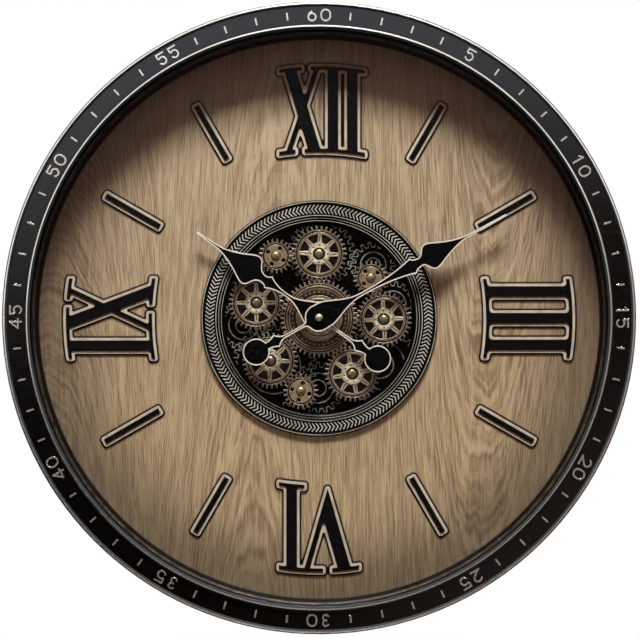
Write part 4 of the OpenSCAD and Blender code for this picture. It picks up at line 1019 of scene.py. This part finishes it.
@dataclass
class GearWindow:
    """Rope ring, relief plate and the turning gears."""

    well: float = 91.7 * MM
    ring_base: float = 37.6 * MM
    rope: Spot = (7.9 * MM, 17.7 * MM)
    rope_rise: Ramp = (0.6 * MM, 0.75 * MM)
    ring_beads: Rings = (
        (1.3 * MM, 0.8 * MM), (3.8 * MM, 0.8 * MM), (6.4 * MM, 1.2 * MM), (19.5 * MM, 1.2 * MM),
    )
    bead_rub: Ramp = (-0.2, 0.2)
    plate_face: float = 31.0 * MM
    plate_reach: float = 1.0
    plate_rise: Ramp = (0.3 * MM, 0.5 * MM)
    cap_back: float = 36.7 * MM
    cap_bore: float = 1.03 * MM
    cap_clear: float = 0.03 * MM
    arbor_back: float = 22.0 * MM
    post: float = 2.5 * MM
    large_root: float = 22.65 * MM
    large_rim: float = 18.55 * MM
    large_hub: float = 8.4 * MM
    # Dark ring around each large gear's cap: painted shade in the gap between cap and hub.
    painted_cap_ring_shade: Spot = (4.2 * MM, 6.0 * MM)
    small_root: float = 12.9 * MM
    small_rim: float = 12.0 * MM
    small_hub: float = 5.2 * MM
    centre_root: float = 33.15 * MM
    centre_rim: float = 27.5 * MM
    centre_hub: float = 18.0 * MM
    centre_grooves: Rings = ((23.4 * MM, 27.2 * MM), (28.6 * MM, 30.2 * MM))
    centre_dots: Spot = (24.2 * MM, 26.5 * MM)
    large_gears: tuple[str, ...] = (
        "top_gear", "right_gear", "left_gear", "lower_left_gear", "lower_right_gear"
    )
    small_gears: tuple[str, ...] = ("upper_left_pinion", "upper_right_pinion", "lower_pinion")
    driven: str = "lower_right_gear"
    brass_nodes: tuple[str, ...] = (
        "gear_posts", "drive_bush", "centre_sleeve", "nut_washer", "bush_nut", "movement_bush"
    )
    screws: tuple[str, ...] = ("plate_screws", "drive_screws")

    @staticmethod
    def axis(node: str) -> Spot:
        """Finds a gear's axis from its box.

        Args:
            node: Name of the gear's node.

        Returns:
            The axis's place to the right and up, in metres.
        """
        low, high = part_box(node)
        middle = (Vector(low) + Vector(high)) / 2
        return middle.x, middle.z

    def dress(self) -> None:
        """Gives the window its finishes."""
        self.dress_ground()
        self.dress_gears()
        dress(TurnedMetal("turned_brass", colour="#d8bf8c", shade="#a98c58"), *self.brass_nodes)
        dress(TurnedMetal("screw_steel", colour="#b4b7ba", shade="#84878b", gloss=0.36), *self.screws)

    def dress_ground(self) -> None:
        """Gives the rope ring and the relief plate their finishes."""
        rope_in, rope_out = (self.well + reach for reach in self.rope)
        rope = Crest(rope_in, rope_out, *(self.ring_base + rise for rise in self.rope_rise))
        beads = tuple(
            Bead(self.well + reach, tube, self.ring_base, *self.bead_rub) for reach, tube in self.ring_beads
        )
        dress(RubbedPaint(
            "rope_silver", paint="#030202", rubbed="#e2dccf", crests=(rope,), beads=beads, worn="#060504",
            wear=0.4, patches=0.3, metal=0.35, specular=0.05, grain=420.0, edge_width=0.2 * MM,
            inset=0.3 * MM,
        ), "rope_ring")
        relief = Crest(0.0, self.plate_reach, *(self.plate_face + rise for rise in self.plate_rise))
        dress(RubbedPaint(
            "plate_relief", paint="#040303", rubbed="#b3aea4", crests=(relief,), worn="#080707", wear=0.8,
            metal=0.4, specular=0.05, grain=320.0, edge_width=0.15 * MM,
        ), "gear_plate")

    def dress_gears(self) -> None:
        """Gives the gears their finishes."""
        for node in self.large_gears:
            dress(CastBronze(
                f"{node}_bronze", self.axis(node), self.large_root, self.large_hub, self.large_rim,
                dark_bands=(self.painted_cap_ring_shade,),
            ), node)
        for node in self.small_gears:
            dress(CastBronze(
                f"{node}_bronze", self.axis(node), self.small_root, self.small_hub, self.small_rim,
                hub="#a08a6b", spoke="#968064", rim="#7a6852",
            ), node)
        # The centre gear's colours are dimmer than the large gears': duller paint, and painted shade for the
        # hands above it.
        dress(CastBronze(
            "centre_bronze", (0.0, 0.0), self.centre_root, self.centre_hub, self.centre_rim,
            hub="#c9b796", spoke="#8a745a", rim="#97806a", teeth="#8a7562", patina="#4a3a2c",
            dark_bands=self.centre_grooves, dots=self.centre_dots,
        ), "centre_gear")

    def crown(self) -> Rings:
        """Draws a cap's rounded head.

        Returns:
            Its rings, each a radius and a level, from its back edge to its top.
        """
        steps = (
            (4.0, 0.0), (4.2, 0.2), (4.2, 0.9), (3.95, 1.15), (3.5, 1.2), (3.3, 1.25),
            (3.05, 1.5), (2.5, 1.75), (1.7, 1.92), (0.8, 1.99), (0.2, 2.0),
        )
        return tuple((r * MM, self.cap_back + rise * MM) for r, rise in steps)

    def build(self) -> None:
        """Models the domed caps of the gear posts and the driven gear's arbor."""
        brass = TurnedMetal("cap_brass", colour="#8f7d62", shade="#5d4d38", gloss=0.32, grain=700.0).material()
        bore = self.post + self.cap_clear
        mouth = ((bore, self.cap_back + self.cap_bore), (bore, self.cap_back))
        posts = [node for node in (*self.large_gears, *self.small_gears) if node != self.driven]
        first = Turning(f"{posts[0]}_cap", self.axis(posts[0]), mouth + self.crown()).build(brass)
        start = Vector((self.axis(posts[0])[0], 0.0, self.axis(posts[0])[1]))
        caps = [first]
        for node in posts[1:]:
            x, z = self.axis(node)
            caps.append(place_copy(first, f"{node}_cap", Vector((x, 0.0, z)) - start))
        for cap in caps:
            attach(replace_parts(cap, "post_caps"), "clock")
        shaft = ((self.post, self.arbor_back), (self.post, self.cap_back))
        arbor = Turning("driven_arbor_domed", self.axis(self.driven), shaft + self.crown()).build(brass)
        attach(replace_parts(arbor, "drive_arbor"), "driven_gear")


@dataclass
class Hands:
    """Hour and minute hand with a raised bright edge, and their domed nut."""

    hour_floor: float = 43.9 * MM
    minute_floor: float = 46.9 * MM
    edge_height: float = 0.4 * MM
    edge_ramp: Ramp = (0.3, 0.7)
    reach: float = 1.0
    nut_front: float = 49.9 * MM
    nut_bore: float = 0.5 * MM
    nut_foot: Rings = ((3.3 * MM, 0.0), (3.4 * MM, 0.1 * MM))
    arbor: float = 1.63 * MM

    def dress(self) -> None:
        """Gives the hands their finishes."""
        for name, floor in (("hour_hand", self.hour_floor), ("minute_hand", self.minute_floor)):
            edge = Crest(0.0, self.reach, *(floor + self.edge_height * share for share in self.edge_ramp))
            dress(RubbedPaint(
                f"{name}_lacquer", paint="#040404", rubbed="#f6eddc", crests=(edge,), worn="#080707", wear=0.1,
                patches=0.1, metal=0.15, specular=0.06, edge_width=0.25 * MM,
            ), name)

    def crown(self) -> Rings:
        """Draws the nut's rounded head.

        Returns:
            Its rings, each a radius and a level, from its shoulder to its top.
        """
        steps = (
            (3.4, 1.1), (3.2, 0.85), (2.7, 0.8), (2.6, 0.6), (2.2, 0.3), (1.5, 0.1), (0.8, 0.02), (0.2, 0.0),
        )
        return tuple((r * MM, self.nut_front - drop * MM) for r, drop in steps)

    def build(self) -> None:
        """Models the domed nut that holds the hands."""
        back = self.minute_floor
        mouth = ((self.arbor, self.nut_front - self.nut_bore), (self.arbor, back))
        foot = tuple((r, back + rise) for r, rise in self.nut_foot)
        brass = TurnedMetal("nut_brass", colour="#d9cfb6", shade="#a8987a", gloss=0.26, grain=700.0).material()
        nut = Turning("hand_nut_domed", (0.0, 0.0), mouth + foot + self.crown()).build(brass)
        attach(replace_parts(nut, "hand_nut"), "minute")


@dataclass
class Works:
    """Hand movement and gear drive behind the dial."""

    shells: tuple[str, ...] = (
        "movement_front", "movement_back", "drive_case", "drive_cover", "battery_cover", "setting_knob"
    )
    wheels: tuple[str, ...] = ("output_wheel", "idler_gear", "minute_wheel", "hour_wheel")
    cells: tuple[str, ...] = ("drive_cells", "movement_cell")
    contacts: tuple[str, ...] = ("drive_contacts", "movement_contacts", "minute_arbor")
    motor: tuple[str, ...] = ("motor_can", "motor_rotor")

    def dress(self) -> None:
        """Gives the works their finishes."""
        dress(Moulded("black_moulding", colour="#1d1e20", worn="#3a3c3f"), *self.shells)
        dress(Moulded("white_nylon", colour="#e4e0d4", worn="#f3f0e8", gloss=0.42, grain=600.0), *self.wheels)
        dress(Moulded("pad_rubber", colour="#171717", worn="#2c2c2c", gloss=0.75), "movement_pad")
        dress(Moulded("cell_wrap", colour="#37614c", worn="#b9a878", gloss=0.35, grain=500.0), *self.cells)
        board = Moulded("circuit_board", colour="#2d6a3b", worn="#7ea45a", gloss=0.4, grain=900.0)
        dress(board, "movement_board")
        copper = TurnedMetal("coil_copper", colour="#c4743f", shade="#8d4b24", gloss=0.34, grain=1600.0)
        dress(copper, "movement_coil")
        dress(TurnedMetal("contact_steel", colour="#c6c8ca", shade="#9b9ea1", gloss=0.3), *self.contacts)
        dress(TurnedMetal("motor_steel", colour="#a6a9ad", shade="#787b80", gloss=0.34), *self.motor)


@dataclass(frozen=True)
class Lamp:
    """Soft lamp aimed at the dial, as wide and as high as its two sizes."""

    name: str
    spot: Vector
    size: tuple[float, float]
    power: float
    spread: float = math.pi

    def build(self) -> None:
        """Adds the lamp."""
        turn = (-self.spot).to_track_quat("-Z", "Y").to_euler()
        bpy.ops.object.light_add(type="AREA", location=self.spot, rotation=turn)
        lamp = bpy.context.object
        lamp.name = self.name
        lamp.data.shape = "RECTANGLE"
        lamp.data.size, lamp.data.size_y = self.size
        lamp.data.energy = self.power
        lamp.data.spread = self.spread


@dataclass
class Studio:
    """Floor, lamps, surroundings and camera."""

    camera_reach: float = 5.0
    camera_aside: float = math.radians(0.5)
    camera_below: float = math.radians(4.0)
    face_level: float = 58.0 * MM
    pixel: float = 0.9466 * MM
    clock_at: Spot = (318.9, 316.8)
    sensor: float = 36.0
    floor_drop: float = 450.0 * MM
    floor_size: float = 1.2
    floor_fade: Ramp = (0.5, 0.32)
    floor_grain: float = 3.0
    floor_gloss: float = 0.7
    ambient: float = 0.085
    shade: str = "#ffae8a"
    behind: Ramp = (-0.15, 0.25)
    above: Ramp = (0.072, 0.12)
    above_lean: float = -0.2
    dark_side: float = 0.005
    low_right: Ramp = (-0.018, 0.002)
    glow: float = 0.26
    glow_tone: str = "#ffd6c4"
    lamps: tuple[Lamp, ...] = (
        Lamp("key_lamp", Vector((0.05, -0.98, 2.8)), (1.2, 0.45), power=17.3, spread=math.radians(50.0)),
        Lamp("rear_lamp", Vector((-0.8, 2.2, 1.6)), (1.2, 1.2), power=45.0),
    )

    def build(self) -> None:
        """Builds the whole studio."""
        self.floor()
        for lamp in self.lamps:
            lamp.build()
        self.surroundings()
        self.camera()
        bpy.context.scene.view_settings.view_transform = "Standard"

    def floor(self) -> None:
        """Builds a pale floor under the hanging clock, which fades out to its edges."""
        bpy.ops.object.select_all(action="DESELECT")
        low = CAD_BOX[0].z - self.floor_drop
        bpy.ops.mesh.primitive_plane_add(size=self.floor_size, location=(0.0, 0.0, low))
        plane = bpy.context.object
        plane.name = "studio_floor"
        g = Graph("studio_floor")
        cloud = g.noise(self.floor_grain, 2.0)
        edge, full = (self.floor_size * share for share in self.floor_fade)
        plane.data.materials.append(g.surface(
            Base_Color=g.mix(cloud, tone("#e9e9e9"), tone("#f2f2f2")),
            Roughness=self.floor_gloss,
            Alpha=g.rise(g.length(g.x, g.y), edge, full),
        ))

    def surroundings(self) -> None:
        """Sets a white backdrop, a bright upper front and a low right glow for gloss, and a dim even light."""
        world = bpy.data.worlds.new("studio")
        bpy.context.scene.world = world
        tree = Tree(world)
        place = tree.add("ShaderNodeTexCoord").outputs["Generated"]
        x, y, z = tree.add("ShaderNodeSeparateXYZ", {0: place}).outputs
        path = tree.add("ShaderNodeLightPath").outputs
        behind = tree.rise(y, *self.behind)
        above = tree.rise(tree.plus(z, tree.times(x, self.above_lean)), *self.above)
        seen = path["Is Camera Ray"]
        mirrored = tree.largest(path["Is Glossy Ray"], path["Is Transmission Ray"])
        low_right = tree.rise(tree.minus(x, z), *self.low_right)
        glow = tree.largest(tree.times(low_right, self.glow), self.dark_side)
        white = tree.largest(seen, tree.times(mirrored, tree.largest(behind, above)))
        even = tree.times(tree.minus(1.0, tree.largest(seen, mirrored)), self.ambient)
        tinted = tree.largest(tree.times(mirrored, glow), even)
        warm = tree.mix(mirrored, tone(self.shade), tone(self.glow_tone))
        background = tree.add("ShaderNodeBackground", {
            "Color": tree.mix(white, warm, WHITE), "Strength": tree.largest(white, tinted),
        })
        tree.add("ShaderNodeOutputWorld", {"Surface": background.outputs[0]})

    def camera(self) -> None:
        """Places the camera at the photograph's angle, a little below and to the right of the axis."""
        target = Vector((0.0, -self.face_level, 0.0))
        away = Vector((
            math.sin(self.camera_aside),
            -math.cos(self.camera_aside) * math.cos(self.camera_below),
            -math.sin(self.camera_below),
        )).normalized()
        data = bpy.data.cameras.new("photo_camera")
        camera = bpy.data.objects.new("photo_camera", data)
        bpy.context.scene.collection.objects.link(camera)
        camera.location = target + away * self.camera_reach
        camera.rotation_euler = (-away).to_track_quat("-Z", "Y").to_euler()
        data.sensor_width = self.sensor
        data.lens = self.sensor * self.camera_reach / (PHOTO_WIDE * self.pixel)
        data.shift_x = (PHOTO_WIDE / 2 - self.clock_at[0]) / PHOTO_WIDE
        data.shift_y = (self.clock_at[1] - PHOTO_HIGH / 2) / PHOTO_WIDE
        bpy.context.scene.camera = camera


def main() -> None:
    """Builds and dresses each sub-assembly in order."""
    logging.basicConfig(level=logging.INFO, format="%(name)s: %(message)s")
    window, hands = GearWindow(), Hands()
    for assembly in (Case(), Dial(), window, hands, Works()):
        assembly.dress()
        log.info("%s dressed", type(assembly).__name__)
    window.build()
    hands.build()
    Studio().build()


if __name__ == "__main__":
    main()
